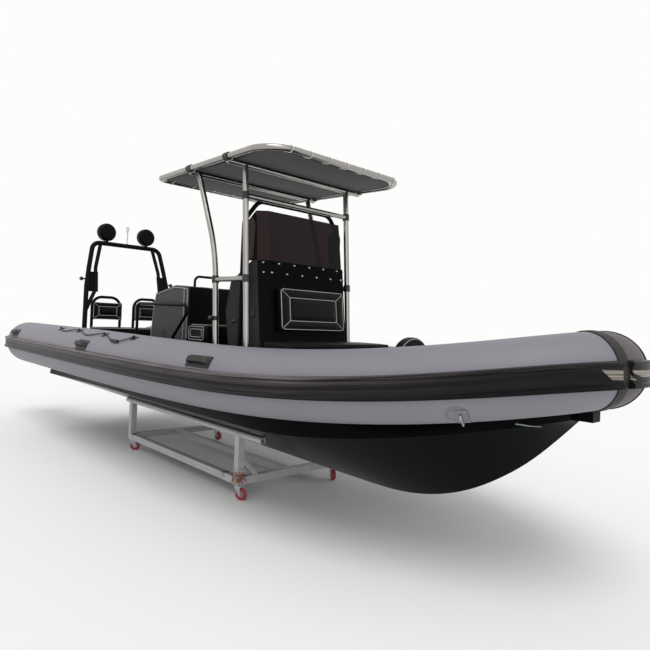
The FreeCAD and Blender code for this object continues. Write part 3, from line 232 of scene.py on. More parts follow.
def collar_fabric(name, base, eyes):
    """Synthetic rubber coated cloth, calendered: satin grey with a fine grain, slow shade changes where it
    was wiped, dull dirt in the low places, and a darker ring round each towing eye"""
    material, tree, shader, place = new_finish(name, base, 0.55, IOR=1.52)
    shader.inputs["Specular IOR Level"].default_value = 0.35
    slow = noise_of(tree, place, 700, 3.0)
    shade = blend(tree, slow.outputs[0], tint(base, 0.90), tint(base, 1.10))
    dirt = noise_of(tree, place, 60, 8.0, Roughness=0.7)
    spots = add(tree, "ShaderNodeMapRange", {"Value": dirt.outputs[0], "From Min": 0.55, "From Max": 0.80,
                                             "To Min": 0.0, "To Max": 0.22})
    soiled = blend(tree, spots.outputs[0], shade, tint(base, 0.55))
    # The rings of both sides are one, because the place is folded over the centre plane
    folded = add(tree, "ShaderNodeVectorMath", {0: place}, operation="ABSOLUTE")
    away = add(tree, "ShaderNodeVectorMath", {0: folded.outputs[0], 1: eyes}, operation="DISTANCE")
    ring = maths(tree, "COMPARE", away.outputs["Value"], *EYE_RING)
    ringed = blend(tree, ring, soiled, tint(base, 0.80))
    tree.links.new(ringed, shader.inputs["Base Color"])
    roughen(tree, shader, slow.outputs[0], 0.46, 0.62)
    # The cloth's 0.8 mm thread is drawn at 4 mm, coarse enough to show
    grain = noise_of(tree, place, 4, 2.0)
    emboss(tree, shader, grain.outputs[0], 0.12, 0.0015)
    return material


def strake_rubber(base, reflection_patches):
    """Extruded rubber, brown-black and glossy, streaked with wear, with painted highlight and shade across its
    profile and pale painted reflections near the nose
    """
    material, tree, shader, place = new_finish("Extruded rubber", base, 0.33, IOR=1.33)
    shader.inputs["Specular IOR Level"].default_value = 0.20
    split = add(tree, "ShaderNodeSeparateXYZ", {"Vector": place})
    # The streaks follow the sheer, which rises ahead of x 1.079 m
    ahead = add(tree, "ShaderNodeMapRange", {"Value": split.outputs[0], "From Min": 1.079, "From Max": 3.764})
    bend = maths(tree, "POWER", ahead.outputs[0], 2.352)
    rise = maths(tree, "MULTIPLY_ADD", bend, -0.256, split.outputs[2])
    level = add(tree, "ShaderNodeCombineXYZ", {0: split.outputs[0], 1: split.outputs[1], 2: rise})
    stretched = add(tree, "ShaderNodeMapping", {"Vector": level.outputs[0], "Scale": (1.6, 1.6, 130.0)})
    # Height within the strake, from 0 at its lower edge to 1 at its upper one
    across = add(tree, "ShaderNodeMapRange", {"Value": rise, "From Min": 0.990, "From Max": 1.136})
    # Painted highlight and shade across the profile: a light line along the top lip, dark in the grooves and
    # darker over the lower half
    rib_highlights = add(tree, "ShaderNodeValToRGB", {"Fac": across.outputs[0]})
    ramp = rib_highlights.color_ramp
    for at, shade in ((0.06, 0.04), (0.14, 0.16), (0.30, 0.20), (0.42, 0.05), (0.50, 0.03), (0.58, 0.26),
                      (0.72, 0.42), (0.80, 0.30), (0.86, 0.70), (0.94, 1.00)):
        stop = ramp.elements.new(at)
        stop.color = (shade, shade, shade, 1.0)
    ramp.elements[-1].color = (0.5, 0.5, 0.5, 1.0)
    streaks = add(tree, "ShaderNodeTexNoise", {"Vector": stretched.outputs[0], "Scale": 1.0, "Detail": 5.0,
                                               "Roughness": 0.6})
    marks = add(tree, "ShaderNodeMapRange", {"Value": streaks.outputs[0], "From Min": 0.30, "From Max": 0.66})
    # The wear and the painted highlights fade towards the bow
    fading = add(tree, "ShaderNodeMapRange", {"Value": split.outputs[0], "From Min": 2.2, "From Max": 3.5,
                                              "To Min": 1.0, "To Max": 0.16})
    wear = maths(tree, "MULTIPLY", marks.outputs[0], fading.outputs[0])
    # The painted highlight bands show only where the wear streaks run
    both = maths(tree, "MULTIPLY_ADD", wear, rib_highlights.outputs[0], 0.01)
    wear_and_highlights = blend(tree, both, tint(base, 0.55), tint(base, 40.0))
    # Pale painted reflections across its middle, in slanted spots beside and on the nose, broken up by the
    # streaks
    upper = maths(tree, "COMPARE", across.outputs[0], 0.48, 0.17)
    slanted = maths(tree, "MULTIPLY_ADD", split.outputs[2], 0.67, split.outputs[0])
    near = None
    for middle, reach in reflection_patches:
        along = maths(tree, "COMPARE", slanted, middle, reach)
        near = along if near is None else maths(tree, "MAXIMUM", near, along)
    near = maths(tree, "MULTIPLY", near, upper)
    near = maths(tree, "MULTIPLY", near, marks.outputs[0])
    with_painted_reflections = blend(tree, near, wear_and_highlights, (*colour("b5ada0"), 1.0))
    tree.links.new(with_painted_reflections, shader.inputs["Base Color"])
    roughen(tree, shader, streaks.outputs[0], 0.24, 0.50)
    emboss(tree, shader, streaks.outputs[0], 0.18, 0.002)
    return material


def hull_gelcoat(base, deck, scratches):
    """Sprayed polyester gelcoat, black with a green cast: deep gloss, a few chips and long scratches, and
    non-slip grit paint on the surfaces that lie level. Its IOR is matched to the look, lower than
    usual, so that it stays black under pale surroundings"""
    material, tree, shader, place = new_finish("Polyester gelcoat", base, 0.20, IOR=1.22)
    shader.inputs["Specular IOR Level"].default_value = 0.10
    slow = noise_of(tree, place, 500, 4.0)
    shade = blend(tree, slow.outputs[0], tint(base, 0.75), tint(base, 1.35))
    flecks = add(tree, "ShaderNodeTexVoronoi", {"Vector": place, "Scale": per_metre(260)})
    chip = maths(tree, "LESS_THAN", flecks.outputs["Distance"], 0.018)
    last = blend(tree, chip, shade, tint(base, 14.0))
    for start, end in scratches:
        gap = off_segment(tree, place, start, end)
        line = maths(tree, "LESS_THAN", gap, SCRATCH_REACH)
        last = blend(tree, line, last, (*colour("8f9490"), 1.0))
    facing = add(tree, "ShaderNodeSeparateXYZ",
                 {"Vector": add(tree, "ShaderNodeNewGeometry").outputs["Normal"]})
    height = add(tree, "ShaderNodeSeparateXYZ", {"Vector": place})
    level = maths(tree, "GREATER_THAN", facing.outputs[2], LEVEL_ENOUGH)
    high = maths(tree, "GREATER_THAN", height.outputs[2], DECK_ABOVE)
    on_deck = maths(tree, "MULTIPLY", level, high)
    # Grit of 1 mm drawn at 5 mm
    grit = noise_of(tree, place, 5, 3.0)
    grey = blend(tree, grit.outputs[0], tint(deck, 0.8), tint(deck, 1.2))
    both = blend(tree, on_deck, last, grey)
    tree.links.new(both, shader.inputs["Base Color"])
    roughen(tree, shader, on_deck, 0.20, 0.80)
    raised = maths(tree, "MULTIPLY", grit.outputs[0], on_deck)
    emboss(tree, shader, raised, 0.5, 0.002)
    return material


def console_gelcoat(base, side):
    """Moulded polyester gelcoat, gloss black before and behind, with satin dark grey sides that show a fine
    orange-peel"""
    material, tree, shader, place = new_finish("Moulded gelcoat", base, 0.22, IOR=1.25)
    shader.inputs["Specular IOR Level"].default_value = 0.10
    facing = add(tree, "ShaderNodeVectorMath",
                 {0: add(tree, "ShaderNodeNewGeometry").outputs["Normal"]}, operation="ABSOLUTE")
    split = add(tree, "ShaderNodeSeparateXYZ", {"Vector": facing.outputs[0]})
    sideways = maths(tree, "GREATER_THAN", split.outputs[1], 0.90)
    slow = noise_of(tree, place, 300, 4.0)
    dark = blend(tree, slow.outputs[0], tint(base, 0.8), tint(base, 1.3))
    grey = blend(tree, slow.outputs[0], tint(side, 0.85), tint(side, 1.15))
    both = blend(tree, sideways, dark, grey)
    tree.links.new(both, shader.inputs["Base Color"])
    roughen(tree, shader, sideways, 0.20, 0.48)
    peel = noise_of(tree, place, 7, 2.0)
    emboss(tree, shader, peel.outputs[0], 0.05, 0.001)
    return material


def screen_acrylic(base):
    """Cast acrylic sheet, smoked brown: dark but clear, with a mirror gloss and faint wipe marks. Its IOR is
    set under acrylic's 1.49, so that pale surroundings don't wash over the smoke"""
    material, tree, shader, place = new_finish("Cast acrylic", base, 0.04, IOR=1.22)
    shader.inputs["Specular IOR Level"].default_value = 0.15
    shader.inputs["Transmission Weight"].default_value = 1.0
    wiped = add(tree, "ShaderNodeMapping", {"Vector": place, "Scale": (3.0, 9.0, 3.0)})
    marks = add(tree, "ShaderNodeTexNoise", {"Vector": wiped.outputs[0], "Scale": 3.0, "Detail": 4.0})
    roughen(tree, shader, marks.outputs[0], 0.02, 0.09)
    return material


def seat_vinyl(name, base):
    """Coated upholstery vinyl with a pressed hide grain: soft satin sheen that breaks up over the grain"""
    material, tree, shader, place = new_finish(name, base, 0.46, IOR=1.5)
    shader.inputs["Specular IOR Level"].default_value = 0.12
    # Grain cells of 1.5 mm drawn at 5 mm
    grain = add(tree, "ShaderNodeTexVoronoi", {"Vector": place, "Scale": per_metre(5)},
                feature="DISTANCE_TO_EDGE")
    slow = noise_of(tree, place, 180, 4.0)
    shade = blend(tree, slow.outputs[0], tint(base, 0.75), tint(base, 1.35))
    tree.links.new(shade, shader.inputs["Base Color"])
    roughen(tree, shader, slow.outputs[0], 0.38, 0.56)
    emboss(tree, shader, grain.outputs["Distance"], 0.15, 0.001)
    return material


def piping_cord(base):
    """Vinyl-covered welt cord: pale, satin, slightly soiled along its length"""
    material, tree, shader, place = new_finish("Welt cord", base, 0.5, IOR=1.5)
    soil = noise_of(tree, place, 90, 6.0)
    shade = blend(tree, soil.outputs[0], tint(base, 0.7), tint(base, 1.1))
    tree.links.new(shade, shader.inputs["Base Color"])
    return material


def polished_tube(base):
    """Anodised aluminium tube, polished and then handled: bright, with soft lengthwise smears"""
    material, tree, shader, place = new_finish("Polished aluminium tube", base, 0.2, Metallic=1.0)
    smear = add(tree, "ShaderNodeMapping", {"Vector": place, "Scale": (8.0, 8.0, 2.0)})
    noise = add(tree, "ShaderNodeTexNoise", {"Vector": smear.outputs[0], "Scale": 2.0, "Detail": 6.0})
    shade = blend(tree, noise.outputs[0], tint(base, 0.72), tint(base, 1.12))
    tree.links.new(shade, shader.inputs["Base Color"])
    roughen(tree, shader, noise.outputs[0], 0.12, 0.34)
    return material


def towing_eye(steel, cloth, bends):
    """Stainless rod, bright, on a moulded patch in the collar's own grey"""
    material, tree, shader, place = new_finish("Stainless rod on a moulded patch", steel, 0.2)
    folded = add(tree, "ShaderNodeVectorMath", {0: place, 1: (1.0, -1.0, 1.0)}, operation="MULTIPLY")
    split = add(tree, "ShaderNodeSeparateXYZ", {"Vector": place})
    port = maths(tree, "GREATER_THAN", split.outputs[1], 0.0)
    side = add(tree, "ShaderNodeMix", {0: port, 4: place, 5: folded.outputs[0]},
               data_type="VECTOR").outputs[1]
    nearest = None
    for start, end in zip(bends, bends[1:]):
        gap = off_segment(tree, side, start, end)
        nearest = gap if nearest is None else maths(tree, "MINIMUM", nearest, gap)
    rod = maths(tree, "LESS_THAN", nearest, ROD_REACH)
    both = blend(tree, rod, tint(cloth, 0.92), tint(steel, 1.1))
    tree.links.new(both, shader.inputs["Base Color"])
    tree.links.new(rod, shader.inputs["Metallic"])
    roughen(tree, shader, rod, 0.55, 0.16)
    return material


def canopy_cloth(base):
    """Woven awning cloth with a dull coated face: matt, with crossing threads and a slow change of tone"""
    material, tree, shader, place = new_finish("Woven awning cloth", base, 0.85, IOR=1.45)
    shader.inputs["Sheen Weight"].default_value = 0.15
    # Threads of 1 mm drawn at 5 mm
    warp = add(tree, "ShaderNodeTexWave", {"Vector": place, "Scale": per_metre(5) / 20}, bands_direction="X")
    weft = add(tree, "ShaderNodeTexWave", {"Vector": place, "Scale": per_metre(5) / 20}, bands_direction="Y")
    weave = maths(tree, "MULTIPLY", warp.outputs["Fac"], weft.outputs["Fac"])
    slow = noise_of(tree, place, 240, 4.0)
    shade = blend(tree, slow.outputs[0], tint(base, 0.8), tint(base, 1.2))
    tree.links.new(shade, shader.inputs["Base Color"])
    emboss(tree, shader, weave, 0.2, 0.001)
    return material


def powder_coat(name, base, roughness):
    """Powder coat on steel tube: black satin with a fine orange-peel and rubbed places"""
    material, tree, shader, place = new_finish(name, base, roughness, IOR=1.35)
    shader.inputs["Specular IOR Level"].default_value = 0.15
    rubbed = noise_of(tree, place, 120, 6.0)
    shade = blend(tree, rubbed.outputs[0], tint(base, 0.75), tint(base, 1.6))
    tree.links.new(shade, shader.inputs["Base Color"])
    peel = noise_of(tree, place, 4, 2.0)
    emboss(tree, shader, peel.outputs[0], 0.08, 0.001)
    roughen(tree, shader, rubbed.outputs[0], roughness - 0.08, roughness + 0.1)
    return material


def moulded_plastic(name, base, roughness):
    """Moulded nylon or rubber: even colour with a fine grain from the mould and slight scuffs"""
    material, tree, shader, place = new_finish(name, base, roughness, IOR=1.5)
    scuff = noise_of(tree, place, 40, 6.0)
    shade = blend(tree, scuff.outputs[0], tint(base, 0.8), tint(base, 1.25))
    tree.links.new(shade, shader.inputs["Base Color"])
    grain = noise_of(tree, place, 2, 1.0)
    emboss(tree, shader, grain.outputs[0], 0.1, 0.0006)
    return material


def braided_rope(base):
    """Braided polyester line: dull, with a diagonal plait, its valleys darkened as painted shade and its
    crests lighter
    """
    material, tree, shader, place = new_finish("Braided polyester line", base, 0.8, IOR=1.5)
    # Plaits of 4 mm drawn at 9 mm
    plait = add(tree, "ShaderNodeTexWave", {"Vector": place, "Scale": per_metre(9) / 20, "Distortion": 1.5},
                bands_direction="DIAGONAL")
    # Painted shade: the plait's valleys darker and its crests lighter
    shade = blend(tree, plait.outputs["Fac"], tint(base, 0.55), tint(base, 1.5))
    tree.links.new(shade, shader.inputs["Base Color"])
    emboss(tree, shader, plait.outputs["Fac"], 0.4, 0.001)
    return material


def cradle_paint(base, rust, welds):
    """Brush-painted mild steel: light grey with runs and scuffs, and rust that has bled from the welds"""
    material, tree, shader, place = new_finish("Painted mild steel", base, 0.5, IOR=1.5)
    streak = noise_of(tree, place, 90, 8.0, Roughness=0.65)
    shade = blend(tree, streak.outputs[0], tint(base, 0.72), tint(base, 1.22))
    folded = add(tree, "ShaderNodeVectorMath", {0: place}, operation="ABSOLUTE").outputs[0]
    near = None
    for spot, reach in welds:
        away = add(tree, "ShaderNodeVectorMath", {0: folded, 1: spot}, operation="DISTANCE")
        close = add(tree, "ShaderNodeMapRange", {"Value": away.outputs["Value"], "From Min": 0.0,
                                                 "From Max": reach, "To Min": 0.55, "To Max": 0.0})
        if near is None:
            near = close.outputs[0]
        else:
            near = maths(tree, "MAXIMUM", near, close.outputs[0])
    eaten = noise_of(tree, place, 22, 8.0, Roughness=0.7)
    sum_up = maths(tree, "ADD", near, eaten.outputs[0])
    patch = add(tree, "ShaderNodeMapRange", {"Value": sum_up, "From Min": 0.78, "From Max": 0.92})
    both = blend(tree, patch.outputs[0], shade, (*rust, 1.0))
    tree.links.new(both, shader.inputs["Base Color"])
    roughen(tree, shader, patch.outputs[0], 0.45, 0.9)
    emboss(tree, shader, streak.outputs[0], 0.15, 0.001)
    return material


def zinc_plate(base):
    """Pressed steel with a bright zinc plate: cool grey with a faint crystalline mottle"""
    material, tree, shader, place = new_finish("Zinc-plated steel", base, 0.32, Metallic=1.0)
    mottle = add(tree, "ShaderNodeTexVoronoi", {"Vector": place, "Scale": per_metre(9)})
    shade = blend(tree, mottle.outputs["Distance"], tint(base, 0.8), tint(base, 1.1))
    tree.links.new(shade, shader.inputs["Base Color"])
    return material


def cast_tread(name, base, hub):
    """Cast polyurethane tread on a grey nylon hub: red, waxy, scuffed where it rolls"""
    material, tree, shader, place = new_finish(name, base, 0.42, IOR=1.5)
    away = add(tree, "ShaderNodeVectorMath", {0: place, 1: hub}, operation="DISTANCE")
    core = maths(tree, "LESS_THAN", away.outputs["Value"], 0.030)
    scuff = noise_of(tree, place, 12, 6.0)
    red = blend(tree, scuff.outputs[0], tint(base, 0.65), tint(base, 1.25))
    both = blend(tree, core, red, (*colour("8a8b8d"), 1.0))
    tree.links.new(both, shader.inputs["Base Color"])
    return material


FINISH = {}


def dress(material, *names):
    """Gives a node its finish"""
    for name in names:
        slots = NODES[name].data.materials
        for k in range(len(slots)):
            slots[k] = material


class BOAT_OT_finishes(bpy.types.Operator):
    """Makes every finish and gives each node of the frame its own"""
    bl_idname = "boat.finishes"
    bl_label = "Finishes"

    def execute(self, context):
        c = context.scene.boat_colours
        hull_scratches = [((3.458, -0.331, 0.999), (3.490, -0.301, 0.995)),
                          ((3.490, -0.301, 0.995), (3.519, -0.265, 0.991)),
                          ((3.519, -0.265, 0.991), (3.545, -0.212, 0.986)),
                          ((1.768, -0.108, 0.354), (1.790, -0.108, 0.355)),
                          ((1.960, -0.106, 0.354), (2.000, -0.106, 0.354))]
        welds = [((1.109, 0.545, 0.19), 0.16), ((1.109, 0.545, 0.115), 0.10), ((0.92, 0.545, 0.19), 0.09),
                 ((0.989, 0.545, 0.15), 0.05)]
        eyes = (3.300, 0.672, 1.036)
        FINISH["collar"] = collar_fabric("Synthetic rubber coated cloth, grey", c.collar, eyes)
        FINISH["nose"] = collar_fabric("Synthetic rubber coated cloth, dark", c.nose, eyes)
        # The two slanted places near the nose where the strake gets pale painted reflections
        FINISH["strake"] = strake_rubber(c.strake, ((4.825, 0.030), (4.885, 0.012)))
        FINISH["rubber"] = moulded_plastic("Smooth rubber, black", colour("0c0b0a"), 0.55)
        FINISH["hull"] = hull_gelcoat(c.hull, c.deck, hull_scratches)
        FINISH["console"] = console_gelcoat(c.console, c.console_side)
        FINISH["screen"] = screen_acrylic(c.screen)
        FINISH["vinyl"] = seat_vinyl("Grained vinyl, black", c.vinyl)
        FINISH["vinyl_side"] = seat_vinyl("Grained vinyl, dark grey", c.vinyl_side)
        FINISH["piping"] = piping_cord(c.piping)
        FINISH["tube"] = polished_tube(c.steel)
        FINISH["canopy"] = canopy_cloth(c.canopy)
        FINISH["black"] = powder_coat("Powder-coated steel", c.black_paint, 0.38)
        FINISH["nylon"] = moulded_plastic("Moulded nylon, black", colour("161617"), 0.42)
        FINISH["white"] = moulded_plastic("Moulded nylon, white", colour("d9d8d4"), 0.35)
        FINISH["rope"] = braided_rope(colour("2b2a2c"))
        FINISH["cradle"] = cradle_paint(c.cradle, c.rust, welds)
        FINISH["zinc"] = zinc_plate(colour("b9bbbe"))
        dress(FINISH["collar"], "collar_starboard", "collar_port", "stern_cones")
        dress(FINISH["nose"], "collar_nose")
        dress(FINISH["strake"], "rubbing_strake")
        dress(FINISH["rubber"], "bow_bands", "grab_line_patches", "carry_handles")
        dress(FINISH["hull"], "hull", "stem_block", "transom")
        dress(FINISH["console"], "console", "front_seat_base", "rear_bench", "helm_seat_box", "bow_locker")
        dress(FINISH["screen"], "windscreen")
        dress(FINISH["vinyl"], "console_cushion", "front_seat_lid", "helm_seat_cushion", "helm_seat_unit",
              "rear_bench_cushion", "backrest_pads", "bow_locker_lid", "bow_bolster")
        dress(FINISH["tube"], "t_top_fore_legs", "t_top_aft_legs", "t_top_crossbars", "canopy_frame")
        dress(towing_eye(c.steel, c.collar, ((3.3092, -0.6542, 1.0653), (3.3244, -0.6790, 1.0379),
                                             (3.3006, -0.6017, 0.9822), (3.2891, -0.5889, 1.0184))),
              "tow_eyes")
        dress(FINISH["canopy"], "canopy")
        dress(FINISH["black"], "arch_frame", "spotlights", "console_hoop", "backrest_hoops",
              "helm_seat_rails", "helm_wheel")
        dress(FINISH["nylon"], "engine_pad", "tube_clamps", "helm_throttle", "side_lights")
        dress(FINISH["white"], "light_mast")
        dress(FINISH["rope"], "grab_line")
        dress(FINISH["cradle"], "cradle_base", "cradle_posts", "cradle_rails")
        dress(FINISH["zinc"], "caster_plates")
        for name in NODES:
            if name.startswith("caster_fork"):
                dress(FINISH["zinc"], name)
            if name.startswith("caster_wheel"):
                low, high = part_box(name)
                hub = tuple((low[k] + high[k]) / 2 for k in range(3))
                dress(cast_tread("Cast tread, " + name[13:], c.wheel, hub), name)
        return {"FINISHED"}


# ---------------------------------------------------------------- shapes
def console_front(z):
    return CONSOLE_FOOT_X - RAKE * (z - DECK_Z)


def lay_down(name, bm, finish, body="boat", smooth=True):
    """Ends a shape: one object at the origin, its finish and the body it rides on"""
    mesh = bpy.data.meshes.new(name)
    bm.to_mesh(mesh)
    bm.free()
    piece = bpy.data.objects.new(name, mesh)
    bpy.context.scene.collection.objects.link(piece)
    mesh.materials.append(FINISH[finish])
    for face in mesh.polygons:
        face.use_smooth = smooth
    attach(piece, body)
    return piece


def strand(bm, points, radius, closed=False):
    """Adds a round strand along a smooth line through its control points"""
    line = bpy.data.curves.new("strand", "CURVE")
    line.dimensions = "3D"
    line.resolution_u = 5
    line.bevel_depth = radius
    line.bevel_resolution = 2
    line.use_fill_caps = True
    spline = line.splines.new("NURBS")
    spline.points.add(len(points) - 1)
    for knot, point in zip(spline.points, points):
        knot.co = (*point, 1.0)
    spline.order_u = 3
    spline.use_cyclic_u = closed
    spline.use_endpoint_u = not closed
    holder = bpy.data.objects.new("strand", line)
    mesh = bpy.data.meshes.new_from_object(holder)
    bm.from_mesh(mesh)
    bpy.data.objects.remove(holder)
    bpy.data.curves.remove(line)
    bpy.data.meshes.remove(mesh)


def straight_strand(bm, a, b, radius):
    """A strand between two points, its ends kept square"""
    a, b = Vector(a), Vector(b)
    strand(bm, [a, a.lerp(b, 0.25), a.lerp(b, 0.75), b], radius)


def turned_disc(bm, place, axis, profile, steps=24):
    """Turns a half outline of (radius, height) pairs round an axis and closes its middle"""
    start = [bm.verts.new((r, 0.0, h)) for r, h in profile]
    edges = [bm.edges.new(pair) for pair in zip(start, start[1:])]
    bmesh.ops.spin(bm, geom=start + edges, cent=(0, 0, 0), axis=(0, 0, 1), angle=2 * math.pi,
                   steps=steps, use_merge=True)
    verts = set(start)
    todo = list(start)
    while todo:
        for edge in todo.pop().link_edges:
            for vert in edge.verts:
                if vert not in verts:
                    verts.add(vert)
                    todo.append(vert)
    bmesh.ops.remove_doubles(bm, verts=list(verts), dist=1e-5)
    verts = [v for v in verts if v.is_valid]
    turn = Vector((0, 0, 1)).rotation_difference(Vector(axis)).to_matrix().to_4x4()
    bmesh.ops.transform(bm, matrix=Matrix.Translation(place) @ turn, verts=verts)


def mirror_over(bm):
    """Adds the port half of a starboard shape"""
    geom = bm.verts[:] + bm.edges[:] + bm.faces[:]
    twin = bmesh.ops.duplicate(bm, geom=geom)["geom"]
    verts = [e for e in twin if isinstance(e, bmesh.types.BMVert)]
    faces = [e for e in twin if isinstance(e, bmesh.types.BMFace)]
    bmesh.ops.scale(bm, vec=(1, -1, 1), verts=verts)
    bmesh.ops.reverse_faces(bm, faces=faces)


def round_off(bm, geom, offset, segments, affect="EDGES", **more):
    bmesh.ops.bevel(bm, geom=geom, offset=offset, offset_type="OFFSET", segments=segments, profile=0.5,
                    affect=affect, material=-1, **more)


def cut_across(bm, axis, at):
    """Cuts every face where a plane square to the axis meets it"""
    normal = Vector([float(k == axis) for k in range(3)])
    bmesh.ops.bisect_plane(bm, geom=bm.verts[:] + bm.edges[:] + bm.faces[:], plane_co=normal * at,
                           plane_no=normal)


def rounded_block(size, radius, pitch):
    """A closed block with rounded edges, cut into a grid that is fine enough to crown"""
    bm = bmesh.new()
    bmesh.ops.create_cube(bm, size=1.0)
    bmesh.ops.scale(bm, vec=size, verts=bm.verts)
    round_off(bm, bm.edges[:], radius, 3)
    for axis in range(3):
        half = size[axis] / 2 - radius
        count = max(1, round(2 * half / pitch))
        for k in range(1, count):
            cut_across(bm, axis, 2 * half * k / count - half)
    return bm


def off_rim(x, y, half_x, half_y, radius):
    """Distance from a rounded rectangle's line"""
    dx = abs(x) - half_x + radius
    dy = abs(y) - half_y + radius
    return abs(math.hypot(max(dx, 0), max(dy, 0)) + min(max(dx, dy), 0) - radius)


def off_line(x, y, a, b):
    """Distance from a straight seam"""
    run = Vector((b[0] - a[0], b[1] - a[1]))
    share = max(0.0, min(1.0, ((x - a[0]) * run.x + (y - a[1]) * run.y) / run.length_squared))
    return math.hypot(x - a[0] - run.x * share, y - a[1] - run.y * share)


def rim_points(half_x, half_y, radius, lift):
    """Control points of a rounded rectangle's line"""
    near = 0.35 * radius
    points = []
    for sx, sy in ((1, 1), (-1, 1), (-1, -1), (1, -1)):
        corner = [(sx * half_x, sy * (half_y - radius)), (sx * half_x, sy * (half_y - near)),
                  (sx * (half_x - near), sy * half_y), (sx * (half_x - radius), sy * half_y)]
        points += corner if sx * sy > 0 else corner[::-1]
    return [Vector((x, y, lift)) for x, y in points]


def crown(bm, size, seams, rise, width, depth_sides=0.004):
    """Swells the top between its seams and draws the long sides in between the corners. The block lies flat,
    its top at +z"""
    half = [s / 2 for s in size]
    for vert in bm.verts:
        x, y, z = vert.co
        high = (z / half[2] + 1) / 2
        away = min(seam(x, y) for seam in seams)
        across = (1 - min(1.0, abs(x) / half[0]) ** 4) * (1 - min(1.0, abs(y) / half[1]) ** 4)
        vert.co.z += rise * high * high * (1 - math.exp(-(away / width) ** 2)) * (0.45 + 0.55 * across) - \
            rise * high * high * 0.35
        middle = 1 - (z / half[2]) ** 2 if half[2] > 0 else 0
        vert.co.x -= math.copysign(depth_sides * middle * (1 - (y / half[1]) ** 2), x) * \
            (abs(x) > half[0] * 0.9)
        vert.co.y -= math.copysign(depth_sides * middle * (1 - (x / half[0]) ** 2), y) * \
            (abs(y) > half[1] * 0.9)


def soften(piece, levels):
    smooth = piece.modifiers.new("smooth", "SUBSURF")
    smooth.levels = levels
    smooth.render_levels = levels


def quilted_pad(name, node, size, place, finish, body="boat", inner=None, corner=0.03, edge=0.012,
                pitch=0.016, seams=(), rise=None, welt_finish="piping"):
    """A cushion with piping round its top, and an inner panel where inner gives its half sizes. The block is
    made flat, its top at +z, and then put in its place"""
    sizes = bpy.context.scene.boat_sizes
    rise = sizes.crown if rise is None else rise
    bm = rounded_block(size, edge, pitch)
    hx, hy, hz = (s / 2 for s in size)
    inset = edge * 0.55
    lines = [lambda x, y: off_rim(x, y, hx - inset, hy - inset, corner)]
    rims = [rim_points(hx - inset, hy - inset, corner, 0.0)]
    straight = list(seams)
    if inner:
        ix, iy, ir = inner
        lines.append(lambda x, y: off_rim(x, y, ix, iy, ir))
        rims.append(rim_points(ix, iy, ir, 0.0))
        for sx in (-1, 1):
            for sy in (-1, 1):
                straight.append(((sx * (ix - 0.3 * ir), sy * (iy - 0.3 * ir)),
                                 (sx * (hx - inset - 0.3 * corner), sy * (hy - inset - 0.3 * corner))))
    for a, b in straight:
        lines.append(lambda x, y, a=a, b=b: off_line(x, y, a, b))
    crown(bm, size, lines, rise, sizes.seam)
    bmesh.ops.transform(bm, matrix=place, verts=bm.verts)
    pad = lay_down(name, bm, finish, body)
    soften(pad, sizes.smoothness)
    trim = bmesh.new()
    top = hz - 0.35 * rise + sizes.piping * 0.35
    for k, rim in enumerate(rims):
        drop = sizes.piping * 0.9 if k == 0 else 0.0
        strand(trim, [place @ (p + Vector((0, 0, top - drop))) for p in rim], sizes.piping, closed=True)
    for a, b in straight:
        straight_strand(trim, place @ Vector((*a, top)), place @ Vector((*b, top)), sizes.piping * 0.8)
    welt = lay_down(name + "_piping", trim, welt_finish, body)
    if node:
        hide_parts(node)
    return pad, welt


# Turns a flat pad's top forward: its own x runs up and its own y to starboard
FACING_FORWARD = Matrix(((0, 0, 1, 0), (0, -1, 0, 0), (1, 0, 0, 0), (0, 0, 0, 1)))


class BOAT_OT_console_cushion(bpy.types.Operator):
    """Quilted cushion on the console's raked front"""
    bl_idname = "boat.console_cushion"
    bl_label = "Console cushion"

    def execute(self, context):
        slope = math.atan(RAKE)
        tall = PAD_HIGH_Z - PAD_LOW_Z
        foot = Matrix.Translation((console_front(PAD_LOW_Z), 0, PAD_LOW_Z)) @ Matrix.Rotation(-slope, 4, "Y")
        place = foot @ Matrix.Translation((PAD_T / 2 + 0.0004, 0, tall / 2)) @ FACING_FORWARD
        quilted_pad("console_cushion_pad", "console_cushion", (tall, 2 * PAD_HALF, PAD_T - 0.002), place,
                    "vinyl", inner=(0.098, 0.268, 0.030), corner=0.045, edge=0.014)
        return {"FINISHED"}


class BOAT_OT_backrests(bpy.types.Operator):
    """Quilted pads on the two hoops behind the rear bench"""
    bl_idname = "boat.backrests"
    bl_label = "Backrest pads"

    def execute(self, context):
        low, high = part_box("backrest_pads")
        pads = []
        for side, tag in ((-1, "starboard"), (1, "port")):
            size = (high[2] - low[2], 0.390, high[0] - low[0] - 0.001)
            middle = ((low[0] + high[0]) / 2, side * 0.285, (low[2] + high[2]) / 2)
            place = Matrix.Translation(middle) @ FACING_FORWARD
            pads.append(quilted_pad("backrest_pad_" + tag, None, size, place, "vinyl",
                                    inner=(0.058, 0.120, 0.025), corner=0.050, edge=0.012)[0])
        for pad in pads:
            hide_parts("backrest_pads")
        return {"FINISHED"}


